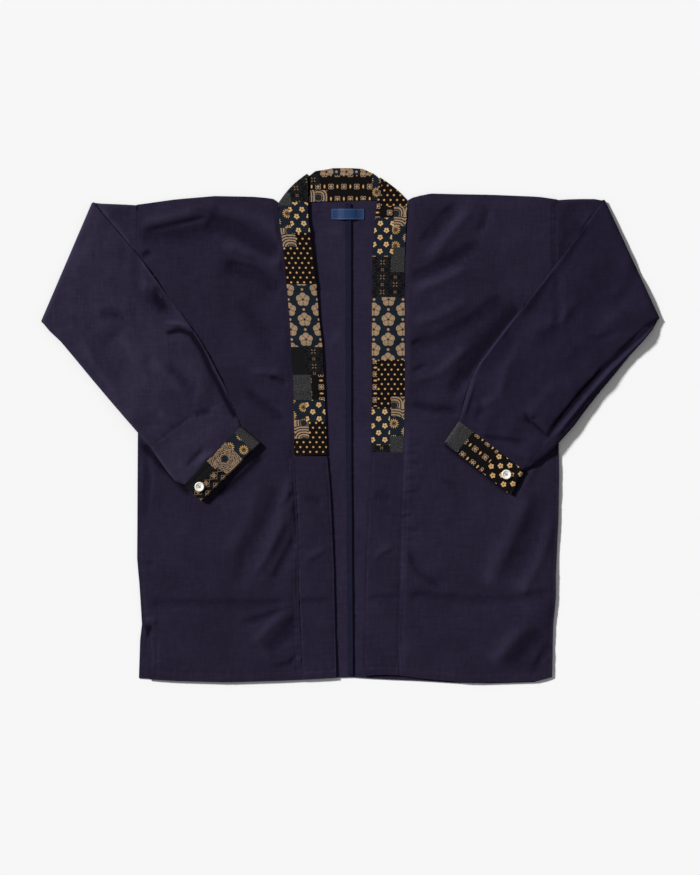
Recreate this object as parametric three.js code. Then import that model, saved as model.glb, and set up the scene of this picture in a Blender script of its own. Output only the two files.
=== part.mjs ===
// Noragi jacket: an open-fronted work jacket that lies flat on its back, its sleeves folded in
// over the fronts. Millimetres. X runs across the jacket, Y up towards the collar, and Z off
// the surface that it lies on. The origin is on that surface, under the middle of the jacket.
import * as THREE from 'three';

// ------------------------------------------------------------------ cloth and layers

const CLOTH = 1.2;                            // one wall of twill, as it lies
const DOUBLE_CLOTH = 2.4;                     // collar, bands and cuffs are doubled
const SEAM_GAP = 0.4;                         // between two pieces that are sewn edge to edge
const LAYER_GAP = 0.3;                        // between two layers that lie on each other
const SLEEVE_GAP = 0.45;                      // between a folded sleeve and what it lies on

const FRONT_UNDERSIDE = CLOTH + LAYER_GAP;    // a front's edges lie on the back
const FRONT_LOFT = 2.4;                       // how far its middle stands off its edges
const SIDE_ROUND = 18;                        // how far in from a side seam a front rounds off
const SHOULDER_ROUND = 14;                    // the same at the shoulder
const HEM_ROUND = 30;                         // the same at the hem, which lies more open
const HEM_OPEN = 0.4;                         // share of the loft that the hem itself keeps
const SEAM_OPEN = 0.75;                       // share of the loft that the collar seam keeps
const COLLAR_ROUND = 12;

// ------------------------------------------------------------------ the body's outline

const TOP = 342;                              // level of the first row of a body panel
const HEM = -390;                             // level of its last row
const EDGE_FADE = 80;                         // how far a shaped edge still bends the rows
const ARMPIT = 161;                           // level of the armhole's lower end
const ARMPIT_FADE = 30;

// Side edges: the armhole down to the armpit, then the side seam, then the open vent.
const SIDE_LEFT = [
  { y: 342, x: -331.5 }, { y: 262, x: -330 }, { y: 161, x: -328 }, { y: -40, x: -329.5 },
  { y: -212, x: -330.4 }, { y: -240, x: -327 }, { y: -306, x: -323 }, { y: -316, x: -316.5 },
  { y: -390, x: -311.5 },
];
const SIDE_RIGHT = [
  { y: 342, x: 320.5 }, { y: 262, x: 321.2 }, { y: 161, x: 322 }, { y: -40, x: 322.3 },
  { y: -74, x: 323.2 }, { y: -156, x: 321.6 }, { y: -212, x: 317.8 }, { y: -268, x: 318 },
  { y: -308, x: 313.8 }, { y: -390, x: 312 },
];
// The back swings out past the front where the left vent lies open.
const VENT_BACK_LEFT = [
  { y: -306, x: -323 }, { y: -332, x: -325.8 }, { y: -390, x: -327.8 },
];
// The seam between a front and its collar and band.
const FRONT_SEAM_LEFT = [
  { y: 342, x: -112 }, { y: 312, x: -109.5 }, { y: 274, x: -104 }, { y: 214, x: -98.5 },
  { y: 161, x: -94 }, { y: 124, x: -92 }, { y: 79, x: -89 }, { y: -19, x: -87 },
  { y: -51, x: -87.5 }, { y: -184, x: -80.5 }, { y: -268, x: -80.5 }, { y: -390, x: -75 },
];
const FRONT_SEAM_RIGHT = [
  { y: 342, x: 89.4 }, { y: 312, x: 85.5 }, { y: 250, x: 83.5 }, { y: 43, x: 84 },
  { y: -40, x: 81.5 }, { y: -124, x: 78.5 }, { y: -240, x: 76 }, { y: -322, x: 72 },
  { y: -390, x: 74.5 },
];
// The free front edge of each lower band.
const BAND_EDGE_LEFT = [
  { y: -45, x: -36.5 }, { y: -96, x: -32 }, { y: -212, x: -26.5 }, { y: -322, x: -24 },
  { y: -390, x: -22 },
];
const BAND_EDGE_RIGHT = [
  { y: -40, x: 32.5 }, { y: -124, x: 27 }, { y: -184, x: 24 }, { y: -294, x: 21.5 },
  { y: -372, x: 20.5 }, { y: -390, x: 24 },
];
const CENTRE_BACK = [{ y: 342, x: 0.6 }, { y: -40, x: 1 }, { y: -390, x: 3.8 }];

// Shoulder folds and the back neckline, which dips behind each neck point.
const SHOULDER_LEFT = [
  { x: -331.5, y: 342.5 }, { x: -270, y: 351 }, { x: -210, y: 356 }, { x: -150, y: 355 },
  { x: -120, y: 352.3 }, { x: -112, y: 346 },
];
const SHOULDER_RIGHT = [
  { x: 320.5, y: 350.6 }, { x: 291.5, y: 354.9 }, { x: 220, y: 358 }, { x: 160, y: 359 },
  { x: 120, y: 360 }, { x: 96, y: 353.6 }, { x: 89, y: 350 },
];
const BACK_SHOULDER_LEFT = [
  { x: -331.5, y: 342.5 }, { x: -270, y: 351 }, { x: -210, y: 356 }, { x: -150, y: 355 },
  { x: -126, y: 352 }, { x: -117, y: 339.8 }, { x: -110.5, y: 339.8 },
];
const BACK_SHOULDER_RIGHT = [
  { x: 320.5, y: 350.6 }, { x: 291.5, y: 354.9 }, { x: 220, y: 358 }, { x: 160, y: 359 },
  { x: 120, y: 359.5 }, { x: 103, y: 353.5 }, { x: 95, y: 343.6 }, { x: 88.5, y: 343.6 },
];

// Hems. Between the fronts the back hangs a little lower, and so it shows.
const HEM_FRONT_LEFT = [
  { x: -311.5, y: -392.5 }, { x: -266, y: -395 }, { x: -191, y: -397 }, { x: -108, y: -394.5 },
  { x: -75, y: -393 },
];
const HEM_BAND_LEFT = [{ x: -75, y: -393 }, { x: -22, y: -390 }];
const HEM_FRONT_RIGHT = [
  { x: 312, y: -388.5 }, { x: 291, y: -395 }, { x: 188, y: -398 }, { x: 110, y: -391 },
  { x: 74.5, y: -386 },
];
const HEM_BAND_RIGHT = [{ x: 74.5, y: -386 }, { x: 48, y: -384.5 }, { x: 24, y: -387 }];
const HEM_BACK_LEFT = [
  { x: -327.8, y: -390.5 }, { x: -266, y: -393.5 }, { x: -191, y: -395.5 },
  { x: -108, y: -392.5 }, { x: -22, y: -389.5 }, { x: 3.8, y: -389 },
];
const HEM_BACK_RIGHT = [
  { x: 312, y: -389 }, { x: 291, y: -396.5 }, { x: 188, y: -399.5 }, { x: 110, y: -394.5 },
  { x: 48, y: -392 }, { x: 3.8, y: -389 },
];

// Lines of the body grids: rows by level, columns by their place at the top. A front's rows pass
// through the corners of its seam too.
const FRONT_ROWS = { marks: [342, 338, 330, -306, -316, -330, -376, -386, -390], step: 26 };
const BACK_ROWS = { marks: [342, 330, ARMPIT, -300, -306, -316, -332, -382, -390], step: 66 };
const FRONT_COLUMNS_LEFT = { marks: [-331.5, -328, -320, -306, -130, -119, -112], step: 17.5 };
const FRONT_COLUMNS_RIGHT = { marks: [320.5, 317, 309, 295, 108, 96, 89], step: 17.5 };
const BACK_COLUMN_STEP = 62;

// ------------------------------------------------------------------ folds of the cloth

// Each is a soft ridge (rise above 0) or trough (rise below 0) along a straight line.
const FRONT_FOLDS = [
  { x1: -224, y1: 316, x2: -118, y2: 266, width: 12, rise: -1.3 },
  { x1: -200, y1: 334, x2: -120, y2: 296, width: 12, rise: 0.8 },
  { x1: -185, y1: 245, x2: -104, y2: 214, width: 11, rise: -1.2 },
  { x1: -162, y1: 56, x2: -98, y2: 10, width: 11, rise: -1.2 },
  { x1: -150, y1: 84, x2: -98, y2: 44, width: 11, rise: 0.9 },
  { x1: -122, y1: -74, x2: -166, y2: -186, width: 13, rise: -1.3 },
  { x1: -150, y1: -70, x2: -190, y2: -170, width: 15, rise: 1 },
  { x1: -88, y1: -166, x2: -122, y2: -242, width: 10, rise: -1.1 },
  { x1: -110, y1: -286, x2: -172, y2: -308, width: 9, rise: -0.9 },
  { x1: -300, y1: -273, x2: -90, y2: -273, width: 7, rise: -0.6 },
  { x1: -250, y1: -345, x2: -210, y2: -190, width: 22, rise: 1 },
  { x1: 167, y1: 343, x2: 108, y2: 281, width: 12, rise: -1.3 },
  { x1: 196, y1: 330, x2: 128, y2: 262, width: 14, rise: 0.9 },
  { x1: 146, y1: 254, x2: 100, y2: 226, width: 9, rise: -0.9 },
  { x1: 212, y1: 153, x2: 108, y2: 121, width: 11, rise: -1.1 },
  { x1: 256, y1: 180, x2: 168, y2: 70, width: 13, rise: -1.5 },
  { x1: 158, y1: -130, x2: 138, y2: -30, width: 16, rise: 0.9 },
  { x1: 298, y1: -107, x2: 241, y2: -240, width: 17, rise: -1.3 },
  { x1: 262, y1: -96, x2: 210, y2: -220, width: 17, rise: 1 },
  { x1: 92, y1: -196, x2: 146, y2: -251, width: 11, rise: -1.1 },
  { x1: 104, y1: -270, x2: 306, y2: -257, width: 7, rise: -0.6 },
  { x1: 295, y1: -319, x2: 249, y2: -375, width: 12, rise: -1.2 },
  { x1: 262, y1: -310, x2: 214, y2: -372, width: 13, rise: 0.9 },
];
const SLEEVE_FOLDS = [
  { x1: -310, y1: 196, x2: -286, y2: 186, width: 16, rise: -1.1 },
  { x1: -372, y1: 172, x2: -352, y2: 160, width: 16, rise: -0.8 },
  { x1: -232, y1: 118, x2: -180, y2: 20, width: 7, rise: -1.1 },
  { x1: -262, y1: 150, x2: -206, y2: 56, width: 9, rise: 0.8 },
  { x1: -330, y1: 40, x2: -262, y2: -40, width: 12, rise: 0.8 },
  { x1: -236, y1: 22, x2: -206, y2: 34, width: 6, rise: -0.7 },
  { x1: 330, y1: 162, x2: 286, y2: 127, width: 12, rise: -1.1 },
  { x1: 262, y1: 176, x2: 182, y2: 74, width: 9, rise: 0.9 },
  { x1: 372, y1: 96, x2: 302, y2: 14, width: 11, rise: 0.9 },
  { x1: 220, y1: -10, x2: 270, y2: -24, width: 7, rise: -0.8 },
  { x1: 236, y1: 60, x2: 206, y2: 16, width: 10, rise: -0.7 },
];

// ------------------------------------------------------------------ sleeves and cuffs

// Stations along a sleeve. a is on its shoulder edge and b on its under-arm edge. The stub runs
// out from the armhole to the fold line, and the arm comes back from it over the front.
const SLEEVE_STATIONS = {
  left: {
    stub: [
      { ax: -331.9, ay: 342, bx: -328.4, by: 161 }, { ax: -350, ay: 343, bx: -364, by: 162 },
      { ax: -371, ay: 344, bx: -408, by: 162 }, { ax: -385, ay: 344.5, bx: -444, by: 161.5 },
    ],
    fold: { ax: -399.8, ay: 347.2, bx: -479.7, by: 160.9 },
    arm: [
      { ax: -386, ay: 332, bx: -466, by: 147 }, { ax: -370, ay: 313, bx: -448, by: 130 },
      { ax: -350, ay: 289, bx: -428, by: 106 }, { ax: -325, ay: 260, bx: -400, by: 72 },
      { ax: -300, ay: 226, bx: -372, by: 39 }, { ax: -276, ay: 192, bx: -347, by: 10 },
      { ax: -252, ay: 161, bx: -326, by: -14 }, { ax: -230, ay: 130, bx: -309, by: -34 },
      { ax: -212, ay: 96, bx: -293, by: -57 }, { ax: -194, ay: 62, bx: -280, by: -75 },
      { ax: -180, ay: 28, bx: -270, by: -86 }, { ax: -170, ay: 0, bx: -257.5, by: -91 },
    ],
    wrist: { ax: -140.5, ay: -25, bx: -232, by: -115.5 },
    button: { x: -233.5, y: -94 },
  },
  right: {
    stub: [
      { ax: 320.9, ay: 350.1, bx: 322.4, by: 161 }, { ax: 340, ay: 351.2, bx: 360, by: 162 },
      { ax: 361, ay: 351.7, bx: 404, by: 163 }, { ax: 378, ay: 351.6, bx: 442, by: 164 },
    ],
    fold: { ax: 393.3, ay: 351.1, bx: 479.1, by: 165.8 },
    arm: [
      { ax: 378, ay: 331, bx: 467.7, by: 149.3 }, { ax: 361, ay: 308, bx: 453.5, by: 131.6 },
      { ax: 342, ay: 282, bx: 432.7, by: 109.4 }, { ax: 320, ay: 253, bx: 410, by: 81.1 },
      { ax: 296, ay: 222, bx: 385.3, by: 51.8 }, { ax: 269, ay: 188, bx: 362.8, by: 23.3 },
      { ax: 243, ay: 155, bx: 345.4, by: -0.4 }, { ax: 219, ay: 123, bx: 326, by: -22 },
      { ax: 199, ay: 96, bx: 310, by: -39 }, { ax: 186, ay: 70, bx: 295, by: -52 },
      { ax: 176, ay: 38, bx: 281, by: -62 }, { ax: 168, ay: 8, bx: 268.5, by: -69 },
    ],
    wrist: { ax: 146, ay: -24, bx: 251, by: -106.5 },
    button: { x: 241, y: -75 },
  },
};
const STUB_THICK = 3.6;                       // a stub at its fold: two walls and the air between
const ARM_THICK = 5.4;                        // the arm half way down
const ARM_SWELL = 0.9;                        // more in the middle of its width
const CUFF_THICK = 6.8;
const THICKEN_OVER = 4;                       // stations that the arm takes to thicken
const STUB_NEAR = 335;                        // the stub slopes from the front's height here
const STUB_FAR = 400;                         // to its own height here
const SLEEVE_PIVOT = STUB_THICK + SLEEVE_GAP / 2;
const FOLD_STEPS = 6;                         // rings round a fold, after the first
const WALL_POINTS = 9;                        // points across one wall of a sleeve or cuff
const EDGE_INSET = 2.2;                       // where a wall starts to round into its edge
const EDGE_CREST = 1.3;                       // the inner wall's edge lies this far in

// Past the stub the arm bridges to the body, and hangs a little towards the surface.
const SAG_DEPTH = 2.6;
const SAG_REACH = 40;
const SAG_PLACES = [{ x: -402, y: 84 }, { x: 402, y: 92 }];

const CUFF_RINGS = 4;
const CUFF_UNDERLAP = 2;                      // the cuff's lower side shows past its upper one

// ------------------------------------------------------------------ collar, bands and trim

// Stations of a collar arm from its lower end to its fold: the seam level o, and the point i on
// the front edge across from it.
const ARM_STATIONS = {
  left: [
    { oy: -46.5, ix: -36.5, iy: -44.5 }, { oy: -19, ix: -37.6, iy: -19 },
    { oy: 79, ix: -41.6, iy: 76 }, { oy: 124, ix: -44, iy: 124 }, { oy: 161, ix: -48.5, iy: 161 },
    { oy: 214, ix: -53.2, iy: 220 }, { oy: 274, ix: -60, iy: 280 }, { oy: 312, ix: -66, iy: 324 },
    { oy: 328, ix: -66.2, iy: 350 },
  ],
  right: [
    { oy: -40.5, ix: 32.5, iy: -40.5 }, { oy: -19, ix: 32.7, iy: -19 },
    { oy: 43, ix: 33.2, iy: 43 }, { oy: 124, ix: 33.3, iy: 124 }, { oy: 190, ix: 33.4, iy: 190 },
    { oy: 250, ix: 33.8, iy: 258 }, { oy: 312, ix: 38.5, iy: 324 }, { oy: 330, ix: 42.8, iy: 356 },
  ],
};
const ARM_FOLD = {
  left: { ax: -112, ay: 345.2, bx: -67.7, by: 390.7 },
  right: { ax: 88.7, ay: 348, bx: 46, by: 385 },
};
const ARM_BASE = [
  { y: 352, z: 3 }, { y: 300, z: 3.4 }, { y: 230, z: 2.7 }, { y: 120, z: 2 }, { y: -60, z: 1.8 },
  { y: -390, z: 1.7 },
];
const ARM_COLUMNS = 5;
const ARM_STEP = 34;
const ARM_CROWN = 0.5;                        // the doubled strip is a little fuller in its middle
const COLLAR_PIVOT = DOUBLE_CLOTH + LAYER_GAP / 2;

// The back-neck stretch lies on the surface: b on the neckline, t on the outer edge.
const NECK_STATIONS = [
  { bx: -107.6, by: 342.6, tx: -64.6, ty: 386.6 }, { bx: -84, by: 346.3, tx: -54.5, ty: 394.6 },
  { bx: -45, by: 348.1, tx: -27, ty: 399.2 }, { bx: -5, by: 349.5, tx: -4, ty: 399.5 },
  { bx: 30, by: 350.2, tx: 19, ty: 398.2 }, { bx: 62, by: 349.3, tx: 36, ty: 390.5 },
  { bx: 85, by: 346.7, tx: 44, ty: 382.6 },
];
const NECK_ROWS = 5;

const BAND_TOP = { left: -46.9, right: -40.9 };
const BAND_COLUMNS = 4;
const BAND_STEP = 30;

const SEAM_STRIP = { thick: 1.4, widthTop: 8.2, widthHem: 6.6, lift: 0.9, columns: 4, step: 52 };
const SEAM_STRIP_TOP = 345;
const SEAM_STRIP_HEM = -386;

const LABEL = { x1: -30, x2: 21, y1: 320, y2: 336.5, thick: 0.9, arch: 2.7, spread: 13 };
const LABEL_COLUMNS = 11;

const BUTTON_SEGMENTS = 24;
const BUTTON_LIFT = 0.35;
const BUTTON_RADIUS = 7.5;
// Half section of a shirt button with a raised rim.
const BUTTON_PROFILE = [
  { r: 0, z: 0.2 }, { r: 5.4, z: 0 }, { r: 7.2, z: 0.9 }, { r: BUTTON_RADIUS, z: 1.7 }, { r: 6.9, z: 2.4 },
  { r: 5.7, z: 2.3 }, { r: 4.6, z: 1.6 }, { r: 0, z: 1.4 },
];

const TWILL = { color: '#2b2739', roughness: 0.92 };
const TWILL_INSIDE = { color: '#302b3f', roughness: 0.92 };
const PATCHWORK = { color: '#232226', roughness: 0.9 };
const SHELL = { color: '#e4ddcf', roughness: 0.35 };
const WOVEN_LABEL = { color: '#1d4673', roughness: 0.8 };

// ------------------------------------------------------------------ small helpers

const mix = (a, b, t) => a + (b - a) * t;
const clamp01 = (t) => Math.min(1, Math.max(0, t));
const ease = (t) => clamp01(t) ** 2 * (3 - 2 * clamp01(t));

// A table's column at a place along another of its columns, straight between rows.
function read(table, by, at, column) {
  const order = Math.sign(table[table.length - 1][by] - table[0][by]);
  let k = 0;
  while (k < table.length - 2 && (at - table[k + 1][by]) * order > 0) k += 1;
  const t = clamp01((at - table[k][by]) / (table[k + 1][by] - table[k][by]));
  return mix(table[k][column], table[k + 1][column], t);
}

// Grid lines through every mark, with more between them so that no step is too long.
function linesThrough({ marks, step }) {
  const lines = [marks[0]];
  for (let k = 1; k < marks.length; k += 1) {
    const parts = Math.ceil(Math.abs(marks[k] - marks[k - 1]) / step);
    for (let p = 1; p <= parts; p += 1) lines.push(mix(marks[k - 1], marks[k], p / parts));
  }
  return lines;
}

// Height of all folds of a table at a point.
function foldHeight(folds, x, y) {
  let height = 0;
  for (const fold of folds) {
    const along = new THREE.Vector2(fold.x2 - fold.x1, fold.y2 - fold.y1);
    const from = new THREE.Vector2(x - fold.x1, y - fold.y1);
    const t = clamp01(from.dot(along) / along.lengthSq());
    const away = from.addScaledVector(along, -t).length() / fold.width;
    height += fold.rise * Math.exp(-away * away);
  }
  return height;
}

// Collects points and faces of one closed skin.
class Skin {
  constructor() {
    this.points = [];
    this.faces = [];
  }

  row(count, place) {
    const indices = [];
    for (let j = 0; j < count; j += 1) {
      indices.push(this.points.length);
      this.points.push(place(j));
    }
    return indices;
  }

  strip(first, second) {
    for (let j = 0; j + 1 < first.length; j += 1) {
      this.faces.push([first[j], first[j + 1], second[j + 1]]);
      this.faces.push([first[j], second[j + 1], second[j]]);
    }
  }

  volume() {
    let sum = 0;
    for (const face of this.faces) {
      const [a, b, c] = face.map((k) => new THREE.Vector3(...this.points[k]));
      sum += a.dot(b.cross(c)) / 6;
    }
    return sum;
  }

  geometry() {
    const outward = this.volume() > 0;
    const faces = outward ? this.faces : this.faces.map(([a, b, c]) => [a, c, b]);
    const geometry = new THREE.BufferGeometry();
    geometry.setAttribute('position', new THREE.Float32BufferAttribute(this.points.flat(), 3));
    geometry.setIndex(faces.flat());
    geometry.computeVertexNormals();
    return geometry;
  }
}

// A closed sheet from a grid of points on its upper side and the same grid on its lower side.
function sheet(rows, columns, upper, lower) {
  const skin = new Skin();
  const over = [];
  const under = [];
  for (let i = 0; i < rows; i += 1) {
    over.push(skin.row(columns, (j) => upper(i, j)));
    under.push(skin.row(columns, (j) => lower(i, j)));
  }
  for (let i = 0; i + 1 < rows; i += 1) {
    skin.strip(over[i], over[i + 1]);
    skin.strip(under[i + 1], under[i]);
  }
  skin.strip(under[0], over[0]);
  skin.strip(over[rows - 1], under[rows - 1]);
  skin.strip(over.map((line) => line[0]), under.map((line) => line[0]));
  skin.strip(under.map((line) => line[columns - 1]), over.map((line) => line[columns - 1]));
  return skin.geometry();
}

// A closed tube wall from rings of points outside and inside, joined round both mouths.
function tube(rings, around, outer, inner) {
  const skin = new Skin();
  const closed = (ring) => [...ring, ring[0]];
  const out = [];
  const inn = [];
  for (let i = 0; i < rings; i += 1) {
    out.push(closed(skin.row(around, (j) => outer(i, j))));
    inn.push(closed(skin.row(around, (j) => inner(i, j))));
  }
  for (let i = 0; i + 1 < rings; i += 1) {
    skin.strip(out[i], out[i + 1]);
    skin.strip(inn[i + 1], inn[i]);
  }
  skin.strip(inn[0], out[0]);
  skin.strip(out[rings - 1], inn[rings - 1]);
  return skin.geometry();
}

// ------------------------------------------------------------------ the body

const jacket = new THREE.Group();

function add(name, geometry, finish) {
  const material = new THREE.MeshStandardMaterial({ ...finish, metalness: 0 });
  const mesh = new THREE.Mesh(geometry, material);
  mesh.name = name;
  jacket.add(mesh);
  return mesh;
}

// The plan of a body panel: its grid lines bent to its side, seam, shoulder and hem.
function panelPlan({ rows, columns, outer, inner, top, hem }) {
  const levels = linesThrough(rows);
  const places = linesThrough(columns);
  const last = places.length - 1;
  const plan = (i, j) => {
    const level = levels[i];
    const share = (places[j] - places[0]) / (places[last] - places[0]);
    const across = (at) => mix(read(outer, 'y', at, 'x'), read(inner, 'y', at, 'x'), share);
    const topShift = read(top, 'x', places[j], 'y') - TOP;
    const hemShift = read(hem, 'x', across(level), 'y') - HEM;
    const nearTop = ease(1 - (TOP - level) / EDGE_FADE);
    const nearHem = ease(1 - (level - HEM) / EDGE_FADE);
    const y = level + topShift * nearTop + hemShift * nearHem;
    return { x: across(y), y };
  };
  return { plan, rows: levels.length, columns: places.length };
}

// Upper side of a front, with its edges rounded down to the back and its folds.
function frontTop(shape, x, y) {
  const fromSide = Math.abs(x - read(shape.outer, 'y', y, 'x'));
  const fromSeam = Math.abs(x - read(shape.inner, 'y', y, 'x'));
  const fromShoulder = read(shape.top, 'x', x, 'y') - y;
  const fromHem = y - read(shape.hem, 'x', x, 'y');
  const sewnToSleeve = ease((y - ARMPIT) / ARMPIT_FADE);
  const side = Math.max(ease(fromSide / SIDE_ROUND), sewnToSleeve);
  const shoulder = ease(fromShoulder / SHOULDER_ROUND);
  const hem = mix(HEM_OPEN, 1, ease(fromHem / HEM_ROUND));
  const seam = mix(SEAM_OPEN, 1, ease(fromSeam / COLLAR_ROUND));
  const loft = (FRONT_LOFT + foldHeight(FRONT_FOLDS, x, y)) * side * shoulder * hem * seam;
  return FRONT_UNDERSIDE + CLOTH + loft;
}

function addFront(name, shape) {
  const { plan, rows, columns } = panelPlan(shape);
  const upper = (i, j) => {
    const { x, y } = plan(i, j);
    return [x, y, frontTop(shape, x, y)];
  };
  const lower = (i, j) => {
    const [x, y, z] = upper(i, j);
    return [x, y, z - CLOTH];
  };
  add(name, sheet(rows, columns, upper, lower), TWILL);
}

function addBack(name, shape) {
  const { plan, rows, columns } = panelPlan(shape);
  const side = (height) => (i, j) => {
    const { x, y } = plan(i, j);
    return [x, y, height];
  };
  add(name, sheet(rows, columns, side(CLOTH), side(0)), TWILL_INSIDE);
}

// A table moved across by a small distance, for the gap at a seam.
const shifted = (table, dx) => table.map((row) => ({ ...row, x: row.x + dx }));

// Rows through the marks and through every level of a seam's table.
function rowsThrough(rows, seam) {
  const levels = new Set([...rows.marks, ...seam.map(({ y }) => y)]);
  return { marks: [...levels].sort((a, b) => b - a), step: rows.step };
}

const frontLeft = {
  rows: rowsThrough(FRONT_ROWS, FRONT_SEAM_LEFT), columns: FRONT_COLUMNS_LEFT, outer: SIDE_LEFT,
  inner: shifted(FRONT_SEAM_LEFT, -SEAM_GAP / 2), top: SHOULDER_LEFT, hem: HEM_FRONT_LEFT,
};
const frontRight = {
  rows: rowsThrough(FRONT_ROWS, FRONT_SEAM_RIGHT), columns: FRONT_COLUMNS_RIGHT, outer: SIDE_RIGHT,
  inner: shifted(FRONT_SEAM_RIGHT, SEAM_GAP / 2), top: SHOULDER_RIGHT, hem: HEM_FRONT_RIGHT,
};
const ventStart = SIDE_LEFT.filter((row) => row.y > VENT_BACK_LEFT[0].y);

// A back's upper edge: its shoulder, and then the neckline below the collar, to the centre.
const neckline = NECK_STATIONS.map(({ bx, by }) => ({ x: bx, y: by - SEAM_GAP }));
const neckCentre = { x: CENTRE_BACK[0].x, y: read(neckline, 'x', CENTRE_BACK[0].x, 'y') };
const topOf = (shoulder, neck) => [...shoulder, ...neck, neckCentre];
const backTopLeft = topOf(BACK_SHOULDER_LEFT, neckline.filter(({ x }) => x < neckCentre.x));
const backTopRight = topOf(
  BACK_SHOULDER_RIGHT, neckline.filter(({ x }) => x > neckCentre.x).reverse(),
);
const columnsThrough = (top) => ({ marks: top.map(({ x }) => x), step: BACK_COLUMN_STEP });

const backLeft = {
  rows: BACK_ROWS, columns: columnsThrough(backTopLeft), outer: [...ventStart, ...VENT_BACK_LEFT],
  inner: shifted(CENTRE_BACK, -SEAM_GAP / 2), top: backTopLeft, hem: HEM_BACK_LEFT,
};
const backRight = {
  rows: BACK_ROWS, columns: columnsThrough(backTopRight), outer: SIDE_RIGHT,
  inner: shifted(CENTRE_BACK, SEAM_GAP / 2), top: backTopRight, hem: HEM_BACK_RIGHT,
};

addBack('back_left', backLeft);
addBack('back_right', backRight);
addFront('front_left', frontLeft);
addFront('front_right', frontRight);

// ------------------------------------------------------------------ sleeves and cuffs

// Height of the layers under a folded sleeve: the stub, and then the front.
function layersUnder(x, y) {
  const overStub = ease((Math.abs(x) - STUB_NEAR) / (STUB_FAR - STUB_NEAR));
  const front = FRONT_UNDERSIDE + CLOTH + FRONT_LOFT;
  const ridges = Math.max(0, foldHeight(FRONT_FOLDS, x, y)) * (1 - overStub);
  return mix(front + ridges, STUB_THICK, overStub);
}

function sag(x, y) {
  let depth = 0;
  for (const place of SAG_PLACES) {
    const away = Math.hypot(x - place.x, y - place.y) / SAG_REACH;
    depth += SAG_DEPTH * Math.exp(-away * away);
  }
  return depth;
}

const restHeight = (x, y) => layersUnder(x, y) + SLEEVE_GAP - sag(x, y);

// Places round a flattened tube: share of its width, distance in from the edge, and the wall.
// Wall 0 lies on the surface before the fold, wall 1 is the upper one, and 0.5 is an edge.
const AROUND = [];
for (let k = 0; k < WALL_POINTS; k += 1) AROUND.push({ across: k / (WALL_POINTS - 1), wall: 0 });
AROUND.push({ across: 1, wall: 0.5 });
for (let k = WALL_POINTS - 1; k >= 0; k -= 1) AROUND.push({ across: k / (WALL_POINTS - 1), wall: 1 });
AROUND.push({ across: 0, wall: 0.5 });

// Plan point of a ring place, and its depth from the tube's own lower side.
function ringPlace(station, j, thick, wallThick, isInner) {
  const { across, wall } = AROUND[j];
  const a = new THREE.Vector2(station.ax, station.ay);
  const b = new THREE.Vector2(station.bx, station.by);
  const width = a.distanceTo(b);
  const onEdge = wall === 0.5;
  const wallInset = EDGE_INSET + (isInner ? EDGE_CREST / 2 : 0);
  const edgeInset = isInner ? EDGE_CREST : 0;
  const inset = (onEdge ? edgeInset : wallInset) / width;
  const point = a.lerp(b, mix(inset, 1 - inset, across));
  const inward = isInner && !onEdge ? wallThick * (wall === 0 ? 1 : -1) : 0;
  return { x: point.x, y: point.y, depth: wall * thick + inward, wall, across };
}

// The line that a strip of cloth turns over, set in from the outline by the turn's radius.
function foldAxis(fold, pivot, outwardX) {
  const along = new THREE.Vector2(fold.bx - fold.ax, fold.by - fold.ay).normalize();
  const normal = new THREE.Vector2(-along.y, along.x);
  if (normal.x * outwardX < 0) normal.negate();
  const { ax, ay, bx, by } = fold;
  return {
    normal,
    ax: ax - normal.x * pivot, ay: ay - normal.y * pivot,
    bx: bx - normal.x * pivot, by: by - normal.y * pivot,
  };
}

// A point of the turn: angle 0 is before the fold, half a turn is after it.
function turned(x, y, depth, axis, pivot, angle) {
  const reach = (pivot - depth) * Math.sin(angle);
  const z = pivot - (pivot - depth) * Math.cos(angle);
  return [x + axis.normal.x * reach, y + axis.normal.y * reach, z];
}

function sleeveRings(shape, side) {
  const axis = foldAxis(shape.fold, SLEEVE_PIVOT, side);
  const rings = shape.stub.map((station) => ({ part: 'stub', station }));
  for (let k = 0; k <= FOLD_STEPS; k += 1) {
    rings.push({ part: 'fold', station: axis, angle: Math.PI * k / FOLD_STEPS });
  }
  shape.arm.forEach((station, k) => rings.push({ part: 'arm', station, k: k + 1 }));
  return { rings, axis };
}

function addSleeve(name, shape, side) {
  const { rings, axis } = sleeveRings(shape, side);
  const place = (isInner) => (i, j) => {
    const ring = rings[i];
    if (ring.part === 'fold') {
      const { x, y, depth } = ringPlace(ring.station, j, STUB_THICK, CLOTH, isInner);
      return turned(x, y, depth, axis, SLEEVE_PIVOT, ring.angle);
    }
    if (ring.part === 'stub') {
      const flat = ringPlace(ring.station, j, STUB_THICK, CLOTH, isInner);
      const full = layersUnder(flat.x, flat.y);
      const { x, y, depth } = ringPlace(ring.station, j, full, CLOTH, isInner);
      return [x, y, depth];
    }
    const grown = ease(ring.k / THICKEN_OVER);
    const swell = ARM_SWELL * Math.sin(Math.PI * AROUND[j].across);
    const thick = mix(STUB_THICK, ARM_THICK + swell, grown);
    const { x, y, depth, wall } = ringPlace(ring.station, j, thick, CLOTH, isInner);
    const folds = wall === 0 ? foldHeight(SLEEVE_FOLDS, x, y) * grown : 0;
    return [x, y, restHeight(x, y) + thick - depth + folds];
  };
  add(name, tube(rings.length, AROUND.length, place(false), place(true)), TWILL);
}

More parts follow.
